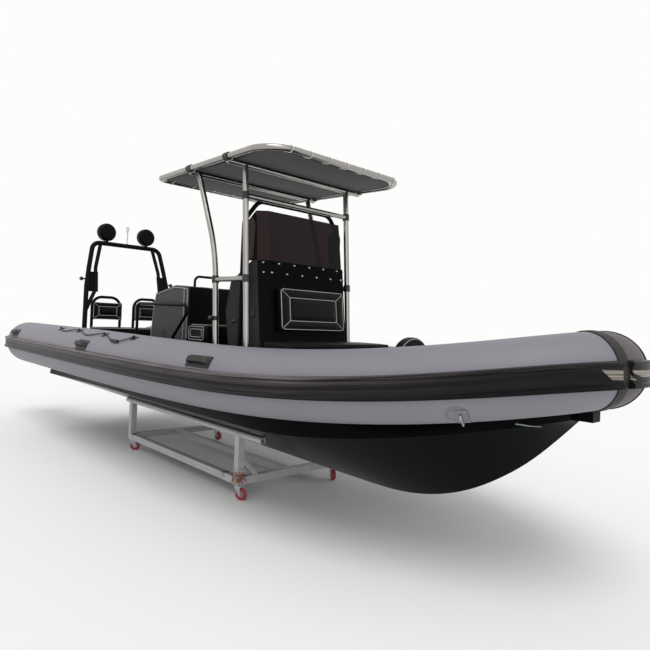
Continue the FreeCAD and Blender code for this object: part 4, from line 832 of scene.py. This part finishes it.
class BOAT_OT_seat_cushions(bpy.types.Operator):
    """Seat cushions of the helm seat, the rear bench, the front seat and the bow locker"""
    bl_idname = "boat.seat_cushions"
    bl_label = "Seat cushions"

    def execute(self, context):
        for node, body, edge, seams in (
                ("helm_seat_cushion", "boat", 0.040, [((-0.13, 0.0), (0.13, 0.0))]),
                ("rear_bench_cushion", "boat", 0.018, [((-0.155, -0.19), (0.155, -0.19)),
                                                       ((-0.155, 0.19), (0.155, 0.19))]),
                ("front_seat_lid", "front_seat_lid", 0.016, [((-0.16, 0.0), (0.16, 0.0))]),
                ("bow_locker_lid", "bow_locker_lid", 0.016, [])):
            low, high = (Vector(corner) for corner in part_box(node))
            size = high - low - Vector((0.001, 0.001, 0.001))
            place = Matrix.Translation((low + high) / 2)
            quilted_pad(node + "_pad", node, tuple(size), place, "vinyl", body=body, edge=edge,
                        corner=edge * 1.4, pitch=0.022, seams=seams, rise=0.010,
                        welt_finish="vinyl" if node == "front_seat_lid" else "piping")
        # Two rounded rows of piping on each end of the helm seat's cushion
        low, high = (Vector(corner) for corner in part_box("helm_seat_cushion"))
        middle = (low + high) / 2
        ends = bmesh.new()
        for side in (-1, 1):
            for inset in (0.030, 0.062):
                loop = rim_points(middle.x - low.x - inset, middle.z - low.z - inset * 0.8, 0.030, 0.0)
                y = side * (high.y - 0.002)
                strand(ends, [Vector((middle.x + p.x, y, middle.z + p.y)) for p in loop],
                       context.scene.boat_sizes.piping, closed=True)
        lay_down("helm_cushion_end_piping", ends, "piping")
        return {"FINISHED"}


class BOAT_OT_helm_unit(bpy.types.Operator):
    """Tall upholstered helm seat: black fore face, dark grey sides, light piping over its edges"""
    bl_idname = "boat.helm_unit"
    bl_label = "Helm seat unit"

    def execute(self, context):
        sizes = context.scene.boat_sizes
        low, high = (Vector(corner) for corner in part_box("helm_seat_unit"))
        half = high.y
        side = [(-0.030, 0.865), (-0.030, 1.815), (-0.330, 1.837), (-0.760, 1.762), (-0.860, 1.272),
                (-0.805, 0.865)]
        bm = bmesh.new()
        face = bm.faces.new([bm.verts.new((x, -half, z)) for x, z in side])
        grown = bmesh.ops.extrude_face_region(bm, geom=[face])["geom"]
        bmesh.ops.translate(bm, vec=(0, 2 * half, 0),
                            verts=[v for v in grown if isinstance(v, bmesh.types.BMVert)])
        bmesh.ops.recalc_face_normals(bm, faces=bm.faces)
        rims = [e for e in bm.edges if (e.verts[0].co + e.verts[1].co).z / 2 > 0.9]
        round_off(bm, rims, 0.022, 4, loop_slide=True)
        for axis, start, count, step in ((0, low.x + 0.05, 19, 0.041), (1, -half + 0.05, 18, 0.047),
                                         (2, low.z + 0.05, 21, 0.044)):
            for k in range(count):
                cut_across(bm, axis, start + k * step)
        for vert in bm.verts:
            # Faces stand a few millimetres proud of the edges, and the seams at a third of the top dip
            x, y, z = vert.co
            across = 1 - min(1.0, abs(y) / half) ** 6
            if z > 1.70:
                away = min(abs(abs(y) - 0.16), 1.0)
                vert.co.z += 0.008 * across * (1 - math.exp(-(away / 0.03) ** 2)) - 0.006 * across
            if abs(abs(y) - half) < 0.002 and z > 0.95:
                vert.co.y -= math.copysign(0.006 * min(1.0, abs(z - 1.35) / 0.45) ** 2, y)
        unit = lay_down("helm_seat_unit_shell", bm, "vinyl")
        unit.data.materials.append(FINISH["vinyl_side"])
        for face in unit.data.polygons:
            if abs(face.normal.y) > 0.8:
                face.material_index = 1
        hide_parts("helm_seat_unit")
        trim = bmesh.new()
        r = sizes.piping * 1.25
        for y in (-half + 0.001, half - 0.001):
            strand(trim, [Vector((x, y, z)) for x, z in ((-0.052, 1.30), (-0.052, 1.60), (-0.052, 1.780),
                                                         (-0.066, 1.795), (-0.20, 1.805), (-0.330, 1.814),
                                                         (-0.55, 1.776), (-0.728, 1.745), (-0.745, 1.728),
                                                         (-0.785, 1.56), (-0.836, 1.29), (-0.822, 1.16),
                                                         (-0.800, 0.95))], r)
            strand(trim, [Vector((x, y, z)) for x, z in ((-0.125, 1.10), (-0.122, 1.40), (-0.120, 1.70),
                                                         (-0.122, 1.806))], r)
        for y in (-0.16, 0.16):
            strand(trim, [Vector((x, y, z + 0.002)) for x, z in ((-0.027, 1.50), (-0.027, 1.79),
                                                                 (-0.045, 1.815), (-0.20, 1.826),
                                                                 (-0.330, 1.836), (-0.55, 1.797),
                                                                 (-0.742, 1.764))], r * 0.8)
        lay_down("helm_seat_piping", trim, "piping")
        # Oval port in each side
        rim = bmesh.new()
        for y in (-half - 0.001, half + 0.001):
            oval = [Vector((-0.514 + 0.030 * math.cos(a), y, 1.323 + 0.045 * math.sin(a)))
                    for a in (k * math.pi / 6 for k in range(12))]
            strand(rim, oval, 0.004, closed=True)
            centre = bmesh.ops.create_circle(rim, cap_ends=True, segments=24, radius=1.0)["verts"]
            bmesh.ops.scale(rim, vec=(0.030, 0.045, 1.0), verts=centre)
            bmesh.ops.rotate(rim, cent=(0, 0, 0), matrix=Matrix.Rotation(math.pi / 2, 3, "X"), verts=centre)
            bmesh.ops.translate(rim, vec=(-0.514, y, 1.323), verts=centre)
        lay_down("helm_seat_ports", rim, "nylon")
        return {"FINISHED"}


class BOAT_OT_bow_bolster(bpy.types.Operator):
    """Round-headed bolster behind the bow locker, with light piping round its aft face"""
    bl_idname = "boat.bow_bolster"
    bl_label = "Bow bolster"

    def execute(self, context):
        sizes = context.scene.boat_sizes
        low, high = (Vector(corner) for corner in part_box("bow_bolster"))
        half = (high.y - low.y) / 2
        mid_z = high.z - half
        bm = bmesh.new()
        ring = bmesh.ops.create_circle(bm, cap_ends=True, segments=40, radius=half)["verts"]
        bmesh.ops.rotate(bm, cent=(0, 0, 0), matrix=Matrix.Rotation(math.pi / 2, 3, "Y"), verts=ring)
        bmesh.ops.translate(bm, vec=(low.x, 0, mid_z), verts=ring)
        for vert in ring:
            if vert.co.z < mid_z - 0.001:
                vert.co.z = low.z + (vert.co.z - mid_z + half) * 0.02
                vert.co.y = math.copysign(min(abs(vert.co.y) * 4, half), vert.co.y)
        grown = bmesh.ops.extrude_face_region(bm, geom=bm.faces[:])["geom"]
        bmesh.ops.translate(bm, vec=(high.x - low.x, 0, 0),
                            verts=[v for v in grown if isinstance(v, bmesh.types.BMVert)])
        bmesh.ops.recalc_face_normals(bm, faces=bm.faces)
        rims = [e for e in bm.edges if abs(e.verts[0].co.x - e.verts[1].co.x) < 1e-6]
        round_off(bm, rims, 0.016, 4)
        bolster = lay_down("bow_bolster_pad", bm, "vinyl")
        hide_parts("bow_bolster")
        trim = bmesh.new()
        for x in (low.x + 0.003, high.x - 0.003):
            arc = [Vector((x, -half + 0.008, 1.02)), Vector((x, -half + 0.008, 1.15))]
            arc += [Vector((x, -(half - 0.008) * math.cos(a), mid_z + (half - 0.008) * math.sin(a)))
                    for a in (k * math.pi / 8 for k in range(9))]
            arc += [Vector((x, half - 0.008, 1.15)), Vector((x, half - 0.008, 1.02))]
            strand(trim, arc, sizes.piping)
        lay_down("bow_bolster_piping", trim, "piping")
        return {"FINISHED"}


def canopy_side(x):
    """Half width and height of the canopy's frame at x"""
    share = (x - CANOPY_AFT.x) / (CANOPY_FORE.x - CANOPY_AFT.x)
    return CANOPY_AFT.lerp(CANOPY_FORE, share)


def canopy_loop_places(pitch):
    """Places along the fore and aft tubes for the loops: the tube's middle and the way into the sheet"""
    rows = []
    for x, inward, reach in ((CANOPY_AFT.x, 1, 0.14), (CANOPY_FORE.x, -1, 0.195)):
        at = canopy_side(x)
        count = round(2 * (at.y - reach) / pitch)
        for k in range(count + 1):
            y = -(at.y - reach) + 2 * (at.y - reach) * k / count
            rows.append((Vector((x, y, at.z)), Vector((inward, 0, 0))))
    return rows


class BOAT_OT_canopy(bpy.types.Operator):
    """Canopy: one sheet laced inside its tube frame, with a roped hem, eyelets and loops of white line"""
    bl_idname = "boat.canopy"
    bl_label = "Canopy"

    def execute(self, context):
        sizes = context.scene.boat_sizes
        bm = bmesh.new()
        corners = []
        for x, side in ((CANOPY_AFT.x + CANOPY_INSET, -1), (CANOPY_FORE.x - CANOPY_INSET, -1),
                        (CANOPY_FORE.x - CANOPY_INSET, 1), (CANOPY_AFT.x + CANOPY_INSET, 1)):
            corners.append(bm.verts.new((x, side * (canopy_side(x).y - CANOPY_INSET), 0.0)))
        bm.faces.new(corners)
        fore = [v for v in bm.verts if v.co.x > 0.5]
        aft = [v for v in bm.verts if v.co.x < 0.5]
        round_off(bm, fore, 0.207, 12, affect="VERTICES")
        round_off(bm, aft, 0.037, 5, affect="VERTICES")
        rim = [v.co.copy() for v in sorted(bm.verts, key=lambda v: math.atan2(v.co.y, v.co.x - 0.73))]
        for axis, start, end, step in ((0, -0.12, 1.62, 0.045), (1, -0.72, 0.72, 0.045)):
            at = start
            while at < end:
                cut_across(bm, axis, at)
                at += step
        held = (CANOPY_AFT.x + CANOPY_INSET, *CROSS_TUBES_X, CANOPY_FORE.x - CANOPY_INSET)

        def drape(x, y):
            """Height of the sheet: on the cross tubes and sagging between them"""
            at = canopy_side(x)
            dip = 0.0
            for a, b in zip(held, held[1:]):
                if a < x < b:
                    dip = math.sin(math.pi * (x - a) / (b - a))
            return at.z + CANOPY_LIFT + 0.001 - sizes.sag * dip * (1 - (y / at.y) ** 2)

        for vert in bm.verts:
            vert.co.z = drape(vert.co.x, vert.co.y)
        area = sum(face.calc_area() for face in bm.faces)
        bmesh.ops.recalc_face_normals(bm, faces=bm.faces)
        if sum(face.normal.z for face in bm.faces) < 0:
            bmesh.ops.reverse_faces(bm, faces=bm.faces)
        sheet = lay_down("canopy_sheet", bm, "canopy")
        cloth = sheet.modifiers.new("thickness", "SOLIDIFY")
        cloth.thickness = 0.0015
        cloth.offset = 1.0
        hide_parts("canopy")
        hem_bm = bmesh.new()
        hem_line = [Vector((p.x, p.y, drape(p.x, p.y) + 0.001)) for p in rim]
        strand(hem_bm, hem_line, 0.0045, closed=True)
        hem = lay_down("canopy_hem", hem_bm, "canopy")
        lacing_bm = bmesh.new()
        eyelet_bm = bmesh.new()
        r = FRAME_TUBE_R + sizes.lacing
        for tube, inward in canopy_loop_places(sizes.lacing_pitch):
            up = Vector((0, 0, 1))
            eye = tube + inward * (CANOPY_INSET + 0.018)
            eye.z = drape(eye.x, eye.y) + 0.001
            over = [eye + up * 0.006, tube + inward * (r * 0.9) + up * (r * 0.75), tube + up * (r * 1.12),
                    tube - inward * (r * 1.1) + up * (r * 0.4), tube - inward * (r * 1.1) - up * (r * 0.4),
                    tube - up * (r * 1.12), tube + inward * (r * 0.9) - up * (r * 0.75), eye - up * 0.006]
            strand(lacing_bm, over, sizes.lacing, closed=True)
            turned_disc(eyelet_bm, eye, up, [(0.0050, 0.0026), (0.0085, 0.0032), (0.0110, 0.0012),
                                             (0.0110, -0.0012), (0.0085, -0.0032), (0.0050, -0.0026),
                                             (0.0050, 0.0026)], 12)
        lacing = lay_down("canopy_lacing", lacing_bm, "white")
        eyelets = lay_down("canopy_eyelets", eyelet_bm, "zinc")
        # Clamps where the legs meet the frame
        clamps = bmesh.new()
        for x in CROSS_TUBES_X:
            at = canopy_side(x)
            way = (CANOPY_FORE - CANOPY_AFT).normalized()
            way.y = -way.y
            turned_disc(clamps, Vector((x, -at.y, at.z)), way,
                        [(0.0255, -0.034), (0.0300, -0.034), (0.0325, -0.031), (0.0325, -0.004),
                         (0.0310, -0.002), (0.0310, 0.002), (0.0325, 0.004), (0.0325, 0.031),
                         (0.0300, 0.034), (0.0255, 0.034), (0.0255, -0.034)], 28)
        mirror_over(clamps)
        lay_down("canopy_clamps", clamps, "nylon")
        return {"FINISHED"}


def bolt_head(bm, place, axis, diameter):
    """A domed bolt head on its washer"""
    r = diameter / 2
    turned_disc(bm, place, axis, [(0.0, -0.0005), (r * 1.5, -0.0005), (r * 1.5, 0.0010), (r * 1.05, 0.0014),
                                  (r, 0.0024), (r * 0.86, 0.0042), (r * 0.5, 0.0054), (0.0, 0.0058)], 14)


class BOAT_OT_console_fittings(bpy.types.Operator):
    """Screen bolts, hoop brackets, side latch and seam, gauges and switches of the console"""
    bl_idname = "boat.console_fittings"
    bl_label = "Console fittings"

    def execute(self, context):
        sizes = context.scene.boat_sizes
        slope = math.atan(RAKE)
        outward = Vector((math.cos(slope), 0, math.sin(slope)))
        bolts = bmesh.new()
        for z, row in ((1.994, (-0.324, -0.155, 0.015, 0.184, 0.352)),
                       (1.912, (-0.402, -0.239, -0.070, 0.099, 0.270, 0.400))):
            for y in row:
                bolt_head(bolts, Vector((console_front(z), y, z)), outward, sizes.bolt)
        for z in (1.994, 1.912):
            for side in (-1, 1):
                corner = Vector((console_front(z) - CONSOLE_CHAMFER / 2,
                                 side * (CONSOLE_HALF - CONSOLE_CHAMFER / 2), z))
                bolt_head(bolts, corner, Vector((1, side, 0.1)).normalized(), sizes.bolt)
        lay_down("screen_bolts", bolts, "zinc")
        bracket = bmesh.new()
        bmesh.ops.create_cube(bracket, size=1.0)
        bmesh.ops.scale(bracket, vec=(0.004, 0.034, 0.170), verts=bracket.verts)
        round_off(bracket, bracket.edges[:], 0.0015, 2)
        bmesh.ops.translate(bracket, vec=(1.060, CONSOLE_HALF + 0.0165, 1.955), verts=bracket.verts)
        mirror_over(bracket)
        lay_down("hoop_brackets", bracket, "white", smooth=False)
        side = bmesh.new()
        straight_strand(side, (0.774, -0.5005, 1.571), (1.299, -0.5005, 1.309), 0.0016)
        turned_disc(side, Vector((0.875, -0.5, 1.494)), Vector((0, -1, 0)),
                    [(0.0, -0.001), (0.020, -0.001), (0.020, 0.004), (0.015, 0.006), (0.012, 0.018),
                     (0.008, 0.021), (0.0, 0.021)])
        latch = bmesh.ops.create_cube(side, size=1.0)["verts"]
        bmesh.ops.scale(side, vec=(0.030, 0.012, 0.070), verts=latch)
        round_off(side, list({e for v in latch for e in v.link_edges}), 0.004, 3)
        moved = [v for v in side.verts if abs(v.co.x) < 0.05 and abs(v.co.z) < 0.05]
        bmesh.ops.translate(side, vec=(1.161, -0.5055, 1.573), verts=moved)
        lay_down("console_side_fittings", side, "nylon")
        # Gauges and switches on the sloping helm face: blank dials behind chrome bezels
        face_slope = math.atan2(0.060, 0.240)
        back = Vector((-math.cos(face_slope), 0, math.sin(face_slope)))

        def helm_face(y, z):
            return Vector((0.740 + 0.060 * (z - 1.600) / 0.240, y, z))

        bezels = bmesh.new()
        dials = bmesh.new()
        for y, r in ((-0.190, 0.043), (-0.290, 0.043), (-0.378, 0.028)):
            turned_disc(bezels, helm_face(y, 1.745), back,
                        [(r - 0.006, 0.0030), (r - 0.003, 0.0075), (r, 0.0080), (r + 0.004, 0.0055),
                         (r + 0.005, -0.0005), (r - 0.006, -0.0005), (r - 0.006, 0.0030)], 32)
            turned_disc(dials, helm_face(y, 1.745), back, [(0.0, 0.0032), (r - 0.005, 0.0026),
                                                            (r - 0.005, -0.0005), (0.0, -0.0005)], 32)
        lay_down("gauge_bezels", bezels, "tube")
        lay_down("gauge_dials", dials, "nylon")
        switches = bmesh.new()
        for k in range(5):
            rocker = bmesh.ops.create_cube(switches, size=1.0)["verts"]
            bmesh.ops.scale(switches, vec=(0.012, 0.020, 0.034), verts=rocker)
            bmesh.ops.rotate(switches, cent=(0, 0, 0), matrix=Matrix.Rotation(face_slope, 3, "Y"),
                             verts=rocker)
            bmesh.ops.translate(switches, vec=helm_face(-0.38 + 0.032 * k, 1.655), verts=rocker)
        round_off(switches, switches.edges[:], 0.0025, 2)
        lay_down("helm_switches", switches, "nylon", smooth=False)
        return {"FINISHED"}


class BOAT_OT_running_gear(bpy.types.Operator):
    """Axle nuts of the casters"""
    bl_idname = "boat.running_gear"
    bl_label = "Caster fastenings"

    def execute(self, context):
        for name in sorted(NODES):
            if not name.startswith("caster_fork"):
                continue
            wheel = name.replace("fork", "wheel")
            low, high = (Vector(corner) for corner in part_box(wheel))
            middle = (low + high) / 2
            joint = next(j for j in frame["joints"] if j["name"] == "roll_" + name[12:])
            axis = Vector(joint["axis"]).normalized()
            nuts = bmesh.new()
            for way in (-1, 1):
                r = 0.0085
                turned_disc(nuts, middle + axis * way * 0.0238, axis * way,
                            [(0.0, -0.0010), (r * 1.3, -0.0010), (r * 1.3, 0.0006), (r, 0.0010),
                             (r, 0.0060), (r * 0.8, 0.0070), (0.0, 0.0070)], 6)
            lay_down("axle_nuts_" + name[12:], nuts, "zinc", body=name, smooth=False)
        return {"FINISHED"}


class BOAT_OT_stage(bpy.types.Operator):
    """Pale floor, plain light and the camera at the photograph's angle"""
    bl_idname = "boat.stage"
    bl_label = "Stage and camera"

    def execute(self, context):
        scene = context.scene
        pale = scene.boat_colours.floor
        scene.view_settings.view_transform = "Standard"
        lens = bpy.data.cameras.new("Camera")
        lens.lens = 30.865
        lens.sensor_width = 36.0
        lens.shift_x = 0.0012
        lens.shift_y = 0.0013
        lens.clip_end = 200.0
        camera = bpy.data.objects.new("Camera", lens)
        right = Vector((0.677967, 0.733838, 0.042922))
        up = Vector((-0.034321, -0.026727, 0.999053))
        back = Vector((0.734291, -0.678798, 0.007066))
        camera.matrix_world = Matrix.Translation((4.99010, -3.22772, 1.52030)) @ \
            Matrix((right, up, back)).transposed().to_4x4()
        scene.collection.objects.link(camera)
        scene.camera = camera
        # Floor
        bm = bmesh.new()
        bmesh.ops.create_grid(bm, x_segments=8, y_segments=8, size=40.0)
        mesh = bpy.data.meshes.new("floor")
        bm.to_mesh(mesh)
        bm.free()
        floor = bpy.data.objects.new("floor", mesh)
        scene.collection.objects.link(floor)
        material, tree, shader, place = new_finish("Plain studio floor", pale, 0.9)
        shader.inputs["Specular IOR Level"].default_value = 0.0
        cloudy = add(tree, "ShaderNodeTexNoise", {"Vector": place, "Scale": 0.4})
        shade = add(tree, "ShaderNodeMix", {0: cloudy.outputs[0], 6: tint(pale, 0.99), 7: (*pale, 1.0)},
                    data_type="RGBA")
        tree.links.new(shade.outputs[2], shader.inputs["Base Color"])
        mesh.materials.append(material)
        # World: a plain level for light, the pale background for what is seen directly or in a reflection
        world = bpy.data.worlds.new("studio")
        scene.world = world
        world.use_nodes = True
        sky = world.node_tree
        sky.nodes.clear()
        path = add(sky, "ShaderNodeLightPath")
        seen = add(sky, "ShaderNodeMath", {0: path.outputs["Is Camera Ray"], 1: path.outputs["Is Glossy Ray"]},
                   operation="MAXIMUM")
        seen = add(sky, "ShaderNodeMath", {0: seen.outputs[0], 1: path.outputs["Is Transmission Ray"]},
                   operation="MAXIMUM")
        light = add(sky, "ShaderNodeBackground", {"Color": (1.0, 1.0, 1.0, 1.0), "Strength": 0.62})
        backdrop = add(sky, "ShaderNodeBackground", {"Color": (*pale, 1.0), "Strength": 1.0})
        mixed = add(sky, "ShaderNodeMixShader", {0: seen.outputs[0], 1: light.outputs[0],
                                                 2: backdrop.outputs[0]})
        add(sky, "ShaderNodeOutputWorld", {"Surface": mixed.outputs[0]})
        # Two broad soft lamps
        for name, energy, angle, way in (("key", 1.15, 35.0, (-0.35, 0.45, -1.0)),
                                         ("fill", 0.45, 60.0, (-0.9, 0.6, -0.35))):
            lamp = bpy.data.lights.new(name, "SUN")
            lamp.energy = energy
            lamp.angle = math.radians(angle)
            sun = bpy.data.objects.new(name, lamp)
            sun.rotation_euler = Vector(way).to_track_quat("-Z", "Y").to_euler()
            scene.collection.objects.link(sun)
        return {"FINISHED"}


class BOAT_PT_panel(bpy.types.Panel):
    """Sizes, colours and steps of the boat"""
    bl_idname = "BOAT_PT_panel"
    bl_label = "Boat"
    bl_space_type = "VIEW_3D"
    bl_region_type = "UI"
    bl_category = "Boat"

    def draw(self, context):
        layout = self.layout
        for group in (context.scene.boat_colours, context.scene.boat_sizes):
            box = layout.box()
            for name in group.__annotations__:
                box.prop(group, name)
        for operator in OPERATORS:
            layout.operator(operator.bl_idname)


OPERATORS = (BOAT_OT_stage, BOAT_OT_finishes, BOAT_OT_canopy, BOAT_OT_console_cushion, BOAT_OT_backrests,
             BOAT_OT_seat_cushions, BOAT_OT_helm_unit, BOAT_OT_bow_bolster, BOAT_OT_console_fittings,
             BOAT_OT_running_gear)
CLASSES = (BoatColours, BoatSizes, *OPERATORS, BOAT_PT_panel)


def register():
    for item in CLASSES:
        bpy.utils.register_class(item)
    bpy.types.Scene.boat_colours = PointerProperty(type=BoatColours)
    bpy.types.Scene.boat_sizes = PointerProperty(type=BoatSizes)


def unregister():
    del bpy.types.Scene.boat_sizes
    del bpy.types.Scene.boat_colours
    for item in reversed(CLASSES):
        bpy.utils.unregister_class(item)


def main():
    register()
    bpy.ops.boat.stage()
    bpy.ops.boat.finishes()
    bpy.ops.boat.canopy()
    bpy.ops.boat.console_cushion()
    bpy.ops.boat.backrests()
    bpy.ops.boat.seat_cushions()
    bpy.ops.boat.helm_unit()
    bpy.ops.boat.bow_bolster()
    bpy.ops.boat.console_fittings()
    bpy.ops.boat.running_gear()


if __name__ == "__main__":
    main()
